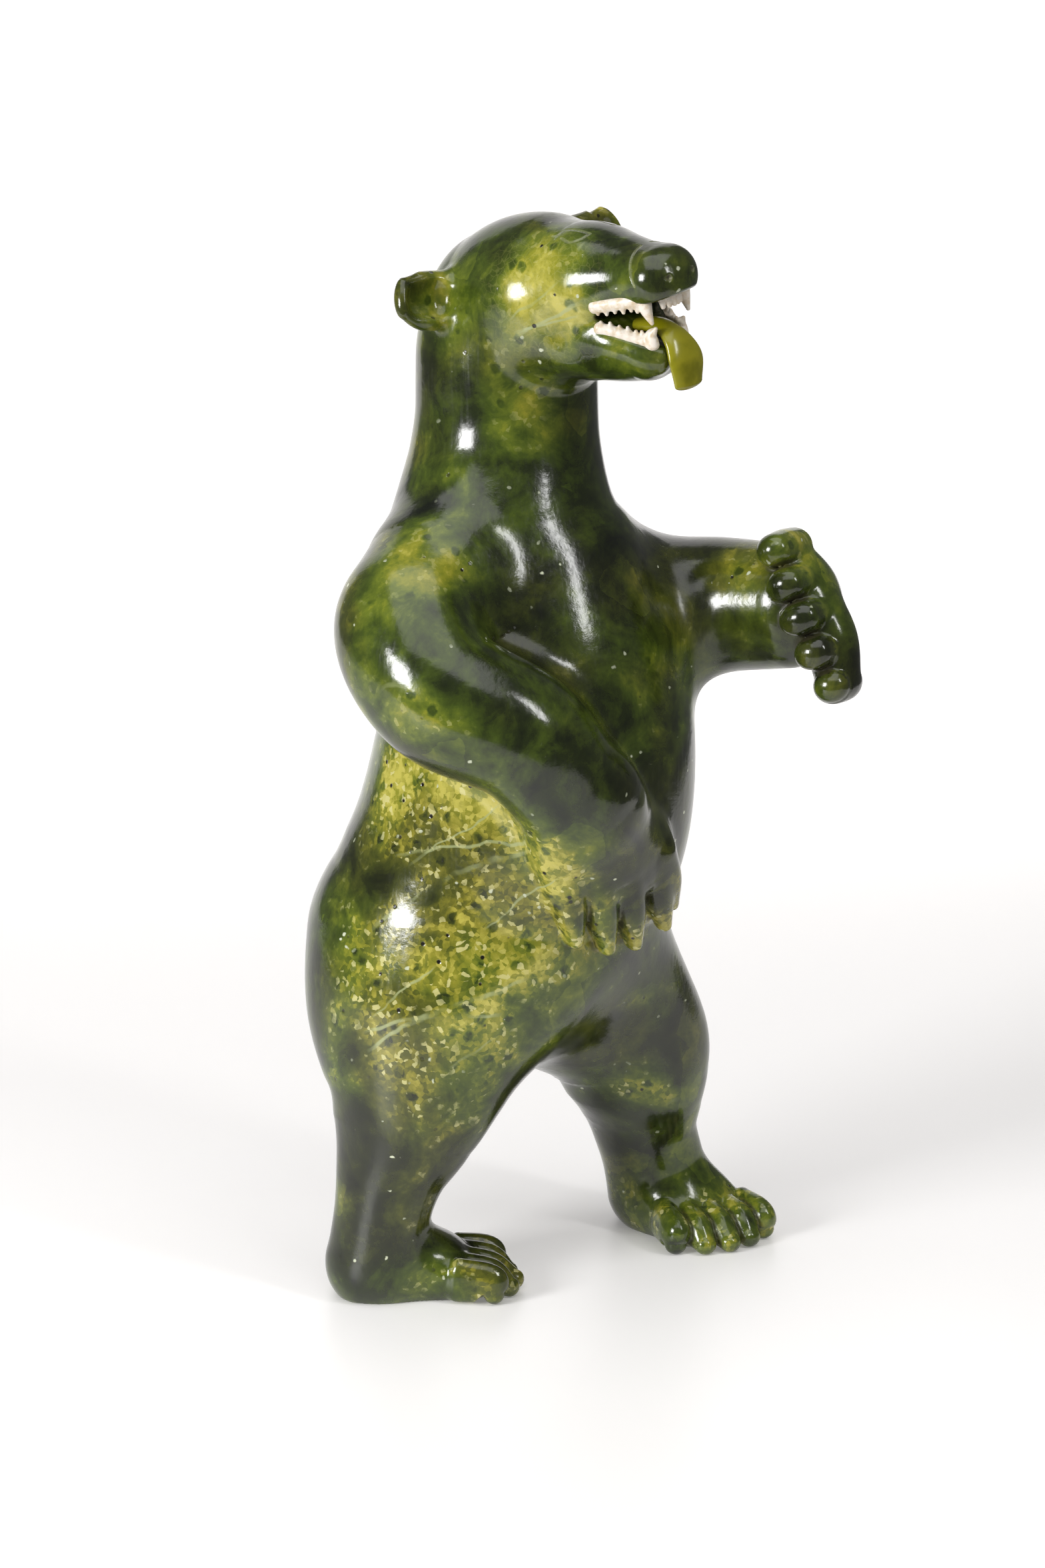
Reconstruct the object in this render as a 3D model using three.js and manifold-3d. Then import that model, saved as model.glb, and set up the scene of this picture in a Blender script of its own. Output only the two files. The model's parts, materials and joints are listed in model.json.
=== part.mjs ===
// A standing bear carved from green serpentine, the stone that carvers call soapstone, with
// bone teeth let into its open jaws and a tongue of paler stone.
//
// Millimetres, +Z up. The bear stands on z = 0 and faces -Y, so +X is its left. The origin is
// on the ground under the middle of its bounding box.
//
// The body is worked out as a carver rounds a block: each limb is a round bar that swells and
// thins along a curve, the bars flow into each other with a fillet of a stated radius, and
// grooves are cut with the same kind of bar. That shape is a field, a function that gives the
// rough distance from any point to the surface, and the mesh is where the field is zero.
import * as THREE from 'three';
import Module from 'manifold-3d';

const point = (x, y, z) => new THREE.Vector3(x, y, z);

// Driving dimensions.
const BODY_CELL = 2.4;
const BODY_TRIANGLES = 7600;
const INLAY_CELL = 0.8;
const INLAY_TRIANGLES = 206;
const SOCKET_GAP = 0.5;
const RELAXING_ROUNDS = 2;
// In the thinning out: how flat the faces at a vertex may be before it keeps to its edge, what
// an edge's length adds to its cost, and the least cosine of the turn a face may make.
const NEARLY_FLAT = 1e-4;
const LENGTH_COST = 1e-3;
const LEAST_COSINE = 0.3;
// Middle of the bounding box in the coordinates that the shapes below are drawn in.
const MIDDLE = [3, 5];

// A bar along a smooth curve. Each stop is [x, y, z, half width, half depth], and half width
// is measured along the bar's side direction. blend is the fillet where it meets the rest.
function bar({ stops, side = [1, 0, 0], blend = 6, steps = 6, frame = null }) {
  const place = frame || new THREE.Matrix4();
  const middle = new THREE.CatmullRomCurve3(stops.map(([x, y, z]) => point(x, y, z).applyMatrix4(place)));
  const radii = new THREE.CatmullRomCurve3(stops.map((s, i) => point(s[3], s[4] ?? s[3], i * 10)));
  const across = point(...side).transformDirection(place);
  const count = (stops.length - 1) * steps + 1;
  const samples = [];
  for (let i = 0; i < count; i += 1) {
    const t = i / (count - 1);
    const tangent = middle.getTangent(t);
    const u = across.clone().addScaledVector(tangent, -across.dot(tangent)).normalize();
    const v = tangent.clone().cross(u);
    const c = middle.getPoint(t);
    const r = radii.getPoint(t);
    samples.push([c.x, c.y, c.z, u.x, u.y, u.z, v.x, v.y, v.z, r.x, r.y]);
  }
  const box = new THREE.Box3();
  let reach = 0;
  for (const s of samples) {
    box.expandByPoint(point(s[0], s[1], s[2]));
    reach = Math.max(reach, s[9], s[10]);
  }
  box.expandByScalar(reach);
  return { samples, box, blend };
}

// Rough distance from a point to a bar: the nearest place on its curve, then the point's
// offset there set against the ellipse of the section, with a rounded end past each tip.
function barDistance(b, x, y, z) {
  const s = b.samples;
  let best = Infinity;
  let at = 0;
  let share = 0;
  for (let i = 0; i + 1 < s.length; i += 1) {
    const p = s[i];
    const q = s[i + 1];
    const dx = q[0] - p[0];
    const dy = q[1] - p[1];
    const dz = q[2] - p[2];
    let t = ((x - p[0]) * dx + (y - p[1]) * dy + (z - p[2]) * dz) / (dx * dx + dy * dy + dz * dz);
    t = Math.min(1, Math.max(0, t));
    const ex = x - p[0] - t * dx;
    const ey = y - p[1] - t * dy;
    const ez = z - p[2] - t * dz;
    const far = ex * ex + ey * ey + ez * ez;
    if (far < best) {
      best = far;
      at = i;
      share = t;
    }
  }
  const p = s[at];
  const q = s[at + 1];
  const m = (k) => p[k] + share * (q[k] - p[k]);
  const wx = x - m(0);
  const wy = y - m(1);
  const wz = z - m(2);
  const a = wx * m(3) + wy * m(4) + wz * m(5);
  const c = wx * m(6) + wy * m(7) + wz * m(8);
  const along = Math.sqrt(Math.max(0, best - a * a - c * c));
  const ra = m(9);
  const rc = m(10);
  const re = Math.min(ra, rc);
  const k0 = Math.hypot(a / ra, c / rc, along / re);
  const k1 = Math.hypot(a / (ra * ra), c / (rc * rc), along / (re * re));
  return k1 < 1e-9 ? -re : (k0 * (k0 - 1)) / k1;
}

// Two distances joined with a fillet of radius k: the smaller one, eased where they are close.
function joined(a, b, k) {
  const h = Math.max(0, k - Math.abs(a - b));
  return Math.min(a, b) - (h * h) / (4 * k);
}

function boxDistance(box, x, y, z) {
  const dx = Math.max(box.min.x - x, 0, x - box.max.x);
  const dy = Math.max(box.min.y - y, 0, y - box.max.y);
  const dz = Math.max(box.min.z - z, 0, z - box.max.z);
  return Math.sqrt(dx * dx + dy * dy + dz * dz);
}

// The whole body: bars joined in order, then cuts taken out in order.
function carving(bars, cuts) {
  return (x, y, z) => {
    let d = 1e3;
    for (const b of bars) {
      if (boxDistance(b.box, x, y, z) > d + b.blend) continue;
      d = joined(d, barDistance(b, x, y, z), b.blend);
    }
    for (const c of cuts) {
      if (boxDistance(c.box, x, y, z) > c.blend - d) continue;
      d = -joined(-d, barDistance(c, x, y, z), c.blend);
    }
    return Math.max(d, -z);
  };
}

// Meshing. Space round the shape is split into cubes of side cell, and each cube into six
// tetrahedra, so that the surface through them is always closed.
const STEPS = [[1, 2], [1, 4], [2, 1], [2, 4], [4, 1], [4, 2]];
const FIRST = [[0, 1, 2, 3], [1, 0, 3, 2], [2, 0, 1, 3], [3, 0, 2, 1]];
const PAIRS = {
  3: [0, 1, 2, 3], 5: [0, 2, 3, 1], 9: [0, 3, 1, 2], 6: [1, 2, 0, 3], 10: [1, 3, 2, 0], 12: [2, 3, 0, 1],
};

function surface(field, box, cell) {
  const size = box.getSize(point(0, 0, 0));
  const nx = Math.ceil(size.x / cell) + 2;
  const ny = Math.ceil(size.y / cell) + 2;
  const nz = Math.ceil(size.z / cell) + 2;
  const at = (i, j, k) => [
    box.min.x + (i - 0.5) * cell, box.min.y + (j - 0.5) * cell, box.min.z + (k - 0.5) * cell,
  ];
  const value = new Float32Array(nx * ny * nz);
  for (let k = 0, n = 0; k < nz; k += 1) {
    for (let j = 0; j < ny; j += 1) {
      for (let i = 0; i < nx; i += 1, n += 1) value[n] = field(...at(i, j, k)) || 1e-6;
    }
  }
  const jump = [0, 1, nx, nx + 1, nx * ny, nx * ny + 1, nx * ny + nx, nx * ny + nx + 1];
  const vertices = [];
  const faces = [];
  const made = new Map();
  // The surface point on the edge from grid node n to the node a corner code further on.
  const crossing = (n, code) => {
    const key = n * 8 + code;
    if (made.has(key)) return made.get(key);
    const k = Math.floor(n / (nx * ny));
    const j = Math.floor((n - k * nx * ny) / nx);
    const i = n - k * nx * ny - j * nx;
    const p = at(i, j, k);
    const q = at(i + (code & 1), j + ((code >> 1) & 1), k + (code >> 2));
    const a = value[n];
    const b = value[n + jump[code]];
    const t = Math.min(0.98, Math.max(0.02, a / (a - b)));
    made.set(key, vertices.length);
    vertices.push([p[0] + t * (q[0] - p[0]), p[1] + t * (q[1] - p[1]), p[2] + t * (q[2] - p[2])]);
    return vertices.length - 1;
  };
  const edge = (n, a, b) => (a < b ? crossing(n + jump[a], b - a) : crossing(n + jump[b], a - b));
  for (let k = 0; k + 1 < nz; k += 1) {
    for (let j = 0; j + 1 < ny; j += 1) {
      for (let i = 0; i + 1 < nx; i += 1) {
        const n = (k * ny + j) * nx + i;
        let inside = 0;
        for (const step of jump) inside += value[n + step] < 0 ? 1 : 0;
        if (inside === 0 || inside === 8) continue;
        STEPS.forEach(([e, f], which) => {
          const odd = which === 1 || which === 2 || which === 5;
          const tet = odd ? [0, e | f, e, 7] : [0, e, e | f, 7];
          let mask = 0;
          tet.forEach((corner, bit) => { if (value[n + jump[corner]] < 0) mask |= 1 << bit; });
          if (mask === 0 || mask === 15) return;
          const pair = PAIRS[mask];
          if (pair) {
            const [a, b, c, d] = pair.map((x) => tet[x]);
            const [w, x, y, z] = [edge(n, a, c), edge(n, a, d), edge(n, b, d), edge(n, b, c)];
            faces.push([w, x, y], [w, y, z]);
            return;
          }
          const single = [1, 2, 4, 8].indexOf(mask);
          const lone = single >= 0 ? single : [1, 2, 4, 8].indexOf(15 - mask);
          const [a, b, c, d] = FIRST[lone].map((x) => tet[x]);
          const [x, y, z] = [edge(n, a, b), edge(n, a, c), edge(n, a, d)];
          faces.push(single >= 0 ? [x, y, z] : [x, z, y]);
        });
      }
    }
  }
  return { vertices, faces };
}

// Takes edges away one by one, always the one whose loss moves the surface least, until
// the mesh has the wanted number of triangles. quadric sums, for each vertex, the squared
// distances to the planes of the faces that met there.
function simplified({ vertices, faces }, wanted) {
  const around = vertices.map(() => new Set());
  faces.forEach((f, i) => f.forEach((x) => around[x].add(i)));
  const alive = new Uint8Array(faces.length).fill(1);
  let count = faces.length;
  const normalOf = (a, b, c) => {
    const ux = b[0] - a[0];
    const uy = b[1] - a[1];
    const uz = b[2] - a[2];
    const wx = c[0] - a[0];
    const wy = c[1] - a[1];
    const wz = c[2] - a[2];
    return [uy * wz - uz * wy, uz * wx - ux * wz, ux * wy - uy * wx];
  };
  const quadric = vertices.map(() => new Float64Array(10));
  for (const f of faces) {
    const [a, b, c] = f.map((x) => vertices[x]);
    const n = normalOf(a, b, c);
    const length = Math.hypot(...n);
    if (length < 1e-12) continue;
    const [x, y, z] = n.map((t) => t / length);
    const w = -(x * a[0] + y * a[1] + z * a[2]);
    const plane = [x * x, x * y, x * z, x * w, y * y, y * z, y * w, z * z, z * w, w * w];
    for (const vertex of f) plane.forEach((t, i) => { quadric[vertex][i] += t * length; });
  }
  const cost = (q, [x, y, z]) => q[0] * x * x + 2 * q[1] * x * y + 2 * q[2] * x * z + 2 * q[3] * x
    + q[4] * y * y + 2 * q[5] * y * z + 2 * q[6] * y + q[7] * z * z + 2 * q[8] * z + q[9];
  // The point with the least cost, or the middle of the edge where the faces are nearly flat.
  const placed = (q, a, b) => {
    const mid = a.map((t, i) => (t + b[i]) / 2);
    const m = new THREE.Matrix3().set(q[0], q[1], q[2], q[1], q[4], q[5], q[2], q[5], q[7]);
    const trace = q[0] + q[4] + q[7];
    if (Math.abs(m.determinant()) < NEARLY_FLAT * trace ** 3) {
      return [a, b, mid].reduce((x, y) => (cost(q, x) < cost(q, y) ? x : y));
    }
    const best = point(-q[3], -q[6], -q[8]).applyMatrix3(m.invert());
    const far = Math.hypot(best.x - mid[0], best.y - mid[1], best.z - mid[2]);
    return far > 2 * Math.hypot(a[0] - b[0], a[1] - b[1], a[2] - b[2]) ? mid : [best.x, best.y, best.z];
  };
  const stamp = new Int32Array(vertices.length);
  const heap = [];
  const lift = (i) => {
    for (let child = i; child > 0;) {
      const parent = (child - 1) >> 1;
      if (heap[parent][0] <= heap[child][0]) return;
      [heap[parent], heap[child]] = [heap[child], heap[parent]];
      child = parent;
    }
  };
  const takeLeast = () => {
    const top = heap[0];
    const last = heap.pop();
    if (heap.length) {
      heap[0] = last;
      for (let i = 0; ;) {
        let least = i;
        if (2 * i + 1 < heap.length && heap[2 * i + 1][0] < heap[least][0]) least = 2 * i + 1;
        if (2 * i + 2 < heap.length && heap[2 * i + 2][0] < heap[least][0]) least = 2 * i + 2;
        if (least === i) break;
        [heap[i], heap[least]] = [heap[least], heap[i]];
        i = least;
      }
    }
    return top;
  };
  const offer = (a, b) => {
    const q = quadric[a].map((t, i) => t + quadric[b][i]);
    const p = placed(q, vertices[a], vertices[b]);
    const [s, t] = [vertices[a], vertices[b]];
    const short = (s[0] - t[0]) ** 2 + (s[1] - t[1]) ** 2 + (s[2] - t[2]) ** 2;
    heap.push([cost(q, p) + LENGTH_COST * short, a, b, stamp[a], stamp[b], p]);
    lift(heap.length - 1);
  };
  const neighbours = (x) => {
    const found = new Set();
    for (const i of around[x]) for (const y of faces[i]) if (y !== x) found.add(y);
    return found;
  };
  for (const f of faces) {
    for (let i = 0; i < 3; i += 1) if (f[i] < f[(i + 1) % 3]) offer(f[i], f[(i + 1) % 3]);
  }
  while (count > wanted && heap.length) {
    const [, a, b, stampA, stampB, p] = takeLeast();
    if (stamp[a] !== stampA || stamp[b] !== stampB) continue;
    if (around[a].size === 0 || around[b].size === 0) continue;
    const near = neighbours(a);
    let shared = 0;
    for (const y of neighbours(b)) if (near.has(y)) shared += 1;
    if (shared !== 2) continue;
    const turns = [a, b].some((x) => [...around[x]].some((i) => {
      if (faces[i].includes(a) && faces[i].includes(b)) return false;
      const before = normalOf(...faces[i].map((y) => vertices[y]));
      const after = normalOf(...faces[i].map((y) => (y === x ? p : vertices[y])));
      const dot = before[0] * after[0] + before[1] * after[1] + before[2] * after[2];
      return dot < LEAST_COSINE * Math.hypot(...before) * Math.hypot(...after);
    }));
    if (turns) continue;
    vertices[a] = p;
    quadric[a] = quadric[a].map((t, i) => t + quadric[b][i]);
    for (const i of [...around[b]]) {
      if (faces[i].includes(a)) {
        alive[i] = 0;
        count -= 1;
        faces[i].forEach((y) => around[y].delete(i));
      } else {
        faces[i] = faces[i].map((y) => (y === b ? a : y));
        around[a].add(i);
      }
    }
    around[b].clear();
    stamp[a] += 1;
    stamp[b] += 1;
    for (const y of neighbours(a)) offer(Math.min(a, y), Math.max(a, y));
  }
  return { vertices, faces: faces.filter((f, i) => alive[i]) };
}

// Torso and neck, from between the hips to the base of the skull.
const torso = bar({
  stops: [
    [4.5, 28, 142, 52, 53], [4.5, 26, 151, 55, 56], [4.5, 21, 172, 58, 57],
    [4.5, 18, 198, 56, 55], [3, 19, 225, 53, 51], [2, 22, 250, 46, 44],
    [0, 26, 272, 37, 37], [0, 27, 296, 32, 32], [-2, 26, 325, 31, 31],
  ],
});

// Belly and buttocks between the hips, and the legs from hip to ankle.
const hips = bar({
  stops: [[-9.5, 35.5, 120, 38, 49.5], [17, 34.5, 121, 37, 49]],
  side: [0, 0, 1],
  blend: 14,
});
const rightLeg = bar({
  stops: [
    [-24, 46, 124, 34, 38], [-33, 44, 98, 32.5, 38], [-40, 41, 73, 26.5, 31.5], [-43, 43, 59, 22, 26],
    [-46.5, 46, 44, 17, 20], [-48.5, 48, 30, 15.3, 17.5], [-50, 50, 14, 15.3, 17.5],
  ],
  blend: 34,
});
const leftLeg = bar({
  stops: [
    [20, 34, 112, 26.5, 30], [40.5, 15.5, 92, 29, 34.5], [51, 9.5, 76, 27.5, 32], [56, 8, 62, 25, 28],
    [60, 8, 50, 20.5, 23.5], [63, 8, 39, 17.5, 20], [67, 7, 27, 16.5, 19.5], [69, 5, 14, 17, 20],
  ],
  blend: 26,
});

// A foot, drawn in its own frame: heel at +y, toes towards -y, standing on z = 0.
function foot(x, y, turn, length, width) {
  const frame = new THREE.Matrix4().makeRotationZ(THREE.MathUtils.degToRad(turn)).setPosition(x, y, 0);
  const half = width / 2;
  const pad = bar({
    frame,
    stops: [
      [0, length * 0.29, 7, half * 0.82, 10], [0, -length * 0.03, 9.5, half * 0.9, 14],
      [0, -length * 0.27, 6, half, 8],
    ],
    blend: 9,
  });
  const toes = [-2, -1, 0, 1, 2].map((i) => {
    const spread = i * half * 0.4;
    const reach = length * (0.5 - 0.028 * i * i);
    return bar({
      frame,
      stops: [
        [spread, -length * 0.2, 8.5, half * 0.24, 8], [spread * 1.12, -length * 0.37, 7, half * 0.26, 7],
        [spread * 1.14, -reach, 3.6, half * 0.2, 3.6],
      ],
      blend: 1.2,
    });
  });
  return [pad, ...toes];
}

// Right arm, laid across the flank, with its paw spread on the belly.
const shoulders = bar({ stops: [[-4, 29, 280, 26, 26], [-30, 31, 256, 26, 25]], blend: 16 });
const rightArm = bar({
  stops: [
    [-40, 29, 250, 25, 26], [-58, 27, 240, 26, 27], [-66, 10, 222, 24, 25], [-53, -14, 207, 22, 23],
    [-43, -25, 190, 20, 17], [-34, -29, 178, 19, 12],
  ],
  side: [0.8, -0.55, 0.2],
  blend: 12,
});
const rightPalm = [
  bar({
    stops: [
      [-38, -26, 186, 16, 14], [-35, -25, 172, 17, 10], [-30, -25, 160, 16, 7], [-27, -24, 153, 15.5, 5.5],
    ],
    side: [0.85, -0.52, 0.1],
    blend: 8,
  }),
  bar({
    stops: [
      [-34, -29, 186, 14, 14], [-24, -31.5, 173, 14.5, 10], [-13, -34, 162, 15, 7], [-9, -33, 154, 15, 5.5],
    ],
    side: [0.97, -0.22, 0.1],
    blend: 8,
  }),
];
const PAW_DIGITS = [
  { root: [-38.5, -20.4, 162], tip: [-28, -18, 134] },
  { root: [-29, -27, 160], tip: [-17, -24, 130] },
  { root: [-19, -32, 160], tip: [-6, -28, 130] },
  { root: [-7, -35, 162], tip: [9.5, -30.5, 134] },
  { root: [-4, -36.5, 163], tip: [13.5, -31, 141] },
];
const rightDigits = PAW_DIGITS.map(({ root, tip }) => {
  const knuckle = root.map((t, i) => 0.45 * t + 0.55 * tip[i]);
  return bar({
    stops: [[...root, 6.2, 7], [...knuckle, 5.9, 7], [...tip, 3, 5]],
    side: [0.85, -0.5, 0],
    blend: 1.5,
  });
});

// Left arm, held out in front at shoulder height.
const leftArm = bar({
  stops: [
    [34, 24, 240, 26, 27], [48, -4, 237, 24, 24.5], [50, -30, 239, 22.5, 23.5], [48, -57, 241, 19, 21.5],
  ],
  blend: 20,
});

// Left paw: palm turned forward, five blunt digits stacked one over another.
const PAW_TILT = -24;
const PAW_PLACE = [42, -69, 240];
const leftPawFrame = new THREE.Matrix4()
  .makeRotationX(THREE.MathUtils.degToRad(PAW_TILT)).setPosition(...PAW_PLACE);
const leftPalm = bar({
  frame: leftPawFrame,
  stops: [[2, -0.5, -23.5, 8, 8], [2, -3, -10, 9.5, 9.3], [2, -1.6, 7, 9.5, 8.4], [2, 0.5, 22.5, 8.5, 6.5]],
  blend: 4,
});
// How far each digit reaches to the right, from the lowest to the topmost.
const CURL = [5, 10, 12, 12, 10];
const leftDigits = [-2, -1, 0, 1, 2].map((i) => bar({
  frame: leftPawFrame,
  stops: [
    [5, 0.6 * Math.abs(i) - 1, 12.4 * i - 0.6, 6.5, 8 - 0.5 * Math.abs(i)],
    [-3, 0.6 * Math.abs(i) - 1.8, 12.4 * i - 0.6, 6.5, 8 - 0.5 * Math.abs(i)],
    [-CURL[i + 2], 0.6 * Math.abs(i) - 2.4, 12.4 * i - 0.6, 5.8, 7.4 - 0.5 * Math.abs(i)],
  ],
  side: [0, 0, 1],
  blend: 1.2,
}));

// Head, drawn in its own frame: muzzle towards -y, crown towards +z.
const HEAD_TURN = [-2, -13, -14];
const HEAD_PLACE = [-2, 25, 347];
const headFrame = new THREE.Matrix4().makeRotationFromEuler(
  new THREE.Euler(...HEAD_TURN.map((a) => THREE.MathUtils.degToRad(a)), 'ZXY'),
).setPosition(...HEAD_PLACE);
const inHead = (stops, more = {}) => bar({ stops, frame: headFrame, ...more });
const skull = inHead(
  [[0, 2, -3.5, 26.5, 26.5], [0, -12, 0.5, 28, 27.4], [0, -27, 2, 26.5, 25.7], [0, -42, 4.5, 20, 19.5]],
  { blend: 10 },
);
const muzzle = inHead(
  [[0, -40, 7, 18, 16], [0, -62, 7.5, 14.5, 13.2], [0, -74, 7, 11.5, 10.2]],
  { blend: 8 },
);
const nose = inHead([[-5, -75.3, 8.3, 5.6, 6.6], [5, -75.3, 8.3, 5.6, 6.6]], { side: [0, 1, 0], blend: 8 });
const jaw = inHead(
  [[0, -22, -10, 24, 18], [0, -44, -15.5, 18, 12], [0, -57, -18.5, 13, 9], [0, -64, -19.5, 10.5, 7.5]],
  { blend: 7 },
);
// The lower lip, from the corner of the mouth to the chin on the left side.
const LOWER_LIP = [
  [12.5, -50, -10.5, 5, 6], [12, -57, -12, 4.6, 5.8], [9.5, -63, -14.2, 4.4, 5.4], [7, -69, -17, 4, 5],
  [5, -72.5, -18.5, 3.6, 4.4],
];
const lips = [-1, 1].map((way) => inHead(LOWER_LIP.map(([x, ...rest]) => [way * x, ...rest]), { blend: 6 }));
const mouth = inHead(
  [
    [0, -53, -1.5, 12, 1.4], [0, -62, -3, 19, 3.8], [0, -70, -4, 20, 5.8], [0, -78, -5, 22, 7.5],
    [0, -98, -8, 28, 12],
  ],
  { blend: 1.5 },
);

// An ear on one side: a thin blade from its root out to its tip, hollowed in front.
function ear(way, x, y, z, root) {
  const blade = inHead(
    [[way * 24, y, root, 9.5, 6], [way * (x - 7), y, z - 0.5, 10, 4.2], [way * x, y + 0.5, z + 2.5, 7, 3]],
    { side: [0, 0.2, 1], blend: 4 },
  );
  const cup = inHead(
    [[way * (x - 12), y - 4.6, z - 0.5, 7, 5], [way * (x - 3.5), y - 3.6, z + 1.5, 6.2, 4]],
    { side: [0, 0, 1], blend: 2 },
  );
  return { blade, cup };
}
const ears = [ear(-1, 44, 2, 9, 6), ear(1, 45, -8, 10.5, 11)];

const tail = bar({ stops: [[4, 74, 116, 10, 8], [4, 90, 104, 6, 5]], blend: 8 });

const BEAR_BARS = [
  torso, hips, shoulders, rightLeg, leftLeg, tail,
  ...foot(-38, 40, 35, 68, 34), ...foot(72.5, -4, -29, 65, 41),
  skull, jaw, ...lips, muzzle, nose, ...ears.map((e) => e.blade),
  leftArm, leftPalm, ...leftDigits, rightArm, ...rightPalm, ...rightDigits,
];
const BEAR_CUTS = [mouth, ...ears.map((e) => e.cup)];
const bearField = carving(BEAR_BARS, BEAR_CUTS);

// Teeth and tongue, in the head's frame too. Each row is one piece of bone: a ridge let into
// the gum with small cusps along it and a canine at its front end.
function toothRow(way, up, gum, canineTip) {
  const line = gum.map(([x, y, z]) => [way * x, y, z]);
  const ridge = inHead(line.map((p) => [...p, 1.6, 2.1]), { side: [way * 0.85, -0.5, 0], blend: 0.5 });
  const along = new THREE.CatmullRomCurve3(line.map((p) => point(...p)));
  const cusps = [0, 1, 2, 3, 4, 5].map((i) => {
    const { x, y, z } = along.getPoint((i + 0.4) / 7);
    const length = 2.4 + 0.12 * i + 0.4 * (i % 2);
    return inHead(
      [[x, y, z, 1.5, 1.9], [x, y, z + up * length, 0.6, 0.6]],
      { side: [way * 0.85, -0.5, 0], blend: 0.5 },
    );
  });
  const [x, y, z] = line[line.length - 1];
  const canine = inHead(
    [
      [x, y, z, 2.2, 2.7], [x, y - 0.4, z + up * 3, 1.8, 2.2],
      [way * canineTip[0], canineTip[1], canineTip[2], 0.7, 0.7],
    ],
    { blend: 0.6 },
  );
  return [ridge, ...cusps, canine];
}
const UPPER_GUM = [[15.5, -57, 1.6], [13.2, -64, 2], [11, -70.5, 2.4], [9, -74, 2]];
const LOWER_GUM = [[14.5, -56.5, -5.8], [11.5, -63, -8.4], [8.8, -68.5, -11.2], [7, -72, -13]];
const incisors = [-2, -1, 0, 1, 2].map((i) => inHead(
  [[2 * i, -78.2 + 0.35 * i * i, 2, 1.2, 1.3], [2 * i, -78.6 + 0.35 * i * i, -1.2, 0.9, 0.7]],
  { blend: 0.4 },
));
const incisorBar = inHead(
  [[-4.4, -76.6, 2.4, 1.3, 1.6], [0, -78, 2.4, 1.3, 1.6], [4.4, -76.6, 2.4, 1.3, 1.6]],
  { side: [0, 1, 0] },
);
const BONE = {
  upper_teeth_right: toothRow(-1, -1, UPPER_GUM, [8.6, -75.5, -5.3]),
  upper_teeth_left: toothRow(1, -1, UPPER_GUM, [8.6, -75.5, -5.3]),
  upper_incisors: [incisorBar, ...incisors],
  lower_teeth_right: toothRow(-1, 1, LOWER_GUM, [6.6, -74.6, -7.8]),
  lower_teeth_left: toothRow(1, 1, LOWER_GUM, [6.6, -74.6, -7.8]),
};
const tongue = [inHead([
  [0, -57, -8.6, 4.4, 2], [0, -65, -8.2, 4.8, 2.3], [0, -71.5, -9, 4, 2.3], [0.4, -76, -13, 5.6, 2.3],
  [0.8, -78.3, -20, 7.5, 2.2], [0.4, -78, -28, 6.2, 1.9],
])];

function boxOf(bars) {
  const box = new THREE.Box3();
  for (const b of bars) box.union(b.box);
  box.min.z = Math.max(0, box.min.z);
  return box;
}

// Evens the mesh out: each vertex moves half way to the middle of its neighbours and is
// then put back on the surface.
function relaxed({ vertices, faces }, field, cell) {
  const near = vertices.map(() => new Set());
  for (const [a, b, c] of faces) {
    near[a].add(b).add(c);
    near[b].add(a).add(c);
    near[c].add(a).add(b);
  }
  const moved = vertices.map((p, i) => {
    const q = [0, 1, 2].map((k) => {
      let sum = 0;
      for (const j of near[i]) sum += vertices[j][k];
      return (p[k] + sum / near[i].size) / 2;
    });
    const d = field(...q);
    const h = cell / 8;
    const slope = [0, 1, 2].map((k) => {
      const shifted = [...q];
      shifted[k] += h;
      return (field(...shifted) - d) / h;
    });
    const steep = slope.reduce((sum, t) => sum + t * t, 0);
    const step = Math.min(cell / 2, Math.max(-cell / 2, d / Math.max(steep, 0.25)));
    return q.map((t, k) => t - step * slope[k]);
  });
  return { vertices: moved, faces };
}

function modelled(field, bars, cell, triangles) {
  let mesh = surface(field, boxOf(bars), cell);
  for (let round = 0; round < RELAXING_ROUNDS; round += 1) mesh = relaxed(mesh, field, cell);
  return simplified(mesh, triangles);
}

function meshOf(name, { vertices, faces }, material) {
  const geometry = new THREE.BufferGeometry();
  geometry.setAttribute('position', new THREE.Float32BufferAttribute(vertices.flat(), 3));
  geometry.setIndex(faces.flat());
  const mesh = new THREE.Mesh(geometry, material);
  mesh.name = name;
  return mesh;
}

const serpentine = new THREE.MeshStandardMaterial({ color: 0x4a5e1e, roughness: 0.2, metalness: 0 });
const tongueStone = new THREE.MeshStandardMaterial({ color: 0x9a9420, roughness: 0.3, metalness: 0 });
const bone = new THREE.MeshStandardMaterial({ color: 0xe8dcc8, roughness: 0.4, metalness: 0 });

// Sockets: every inlaid piece, grown by the gap round it, is cut out of the bear.
const wasm = await Module();
wasm.setup();
const solid = ({ vertices, faces }) => new wasm.Manifold(new wasm.Mesh({
  numProp: 3,
  vertProperties: new Float32Array(vertices.flat()),
  triVerts: new Uint32Array(faces.flat()),
}));
const facesOf = (manifold) => {
  const { numProp, vertProperties, triVerts } = manifold.getMesh();
  const vertices = [];
  for (let i = 0; i < vertProperties.length; i += numProp) {
    vertices.push([...vertProperties.subarray(i, i + 3)]);
  }
  const faces = [];
  for (let i = 0; i < triVerts.length; i += 3) faces.push([...triVerts.subarray(i, i + 3)]);
  return { vertices, faces };
};

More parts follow.
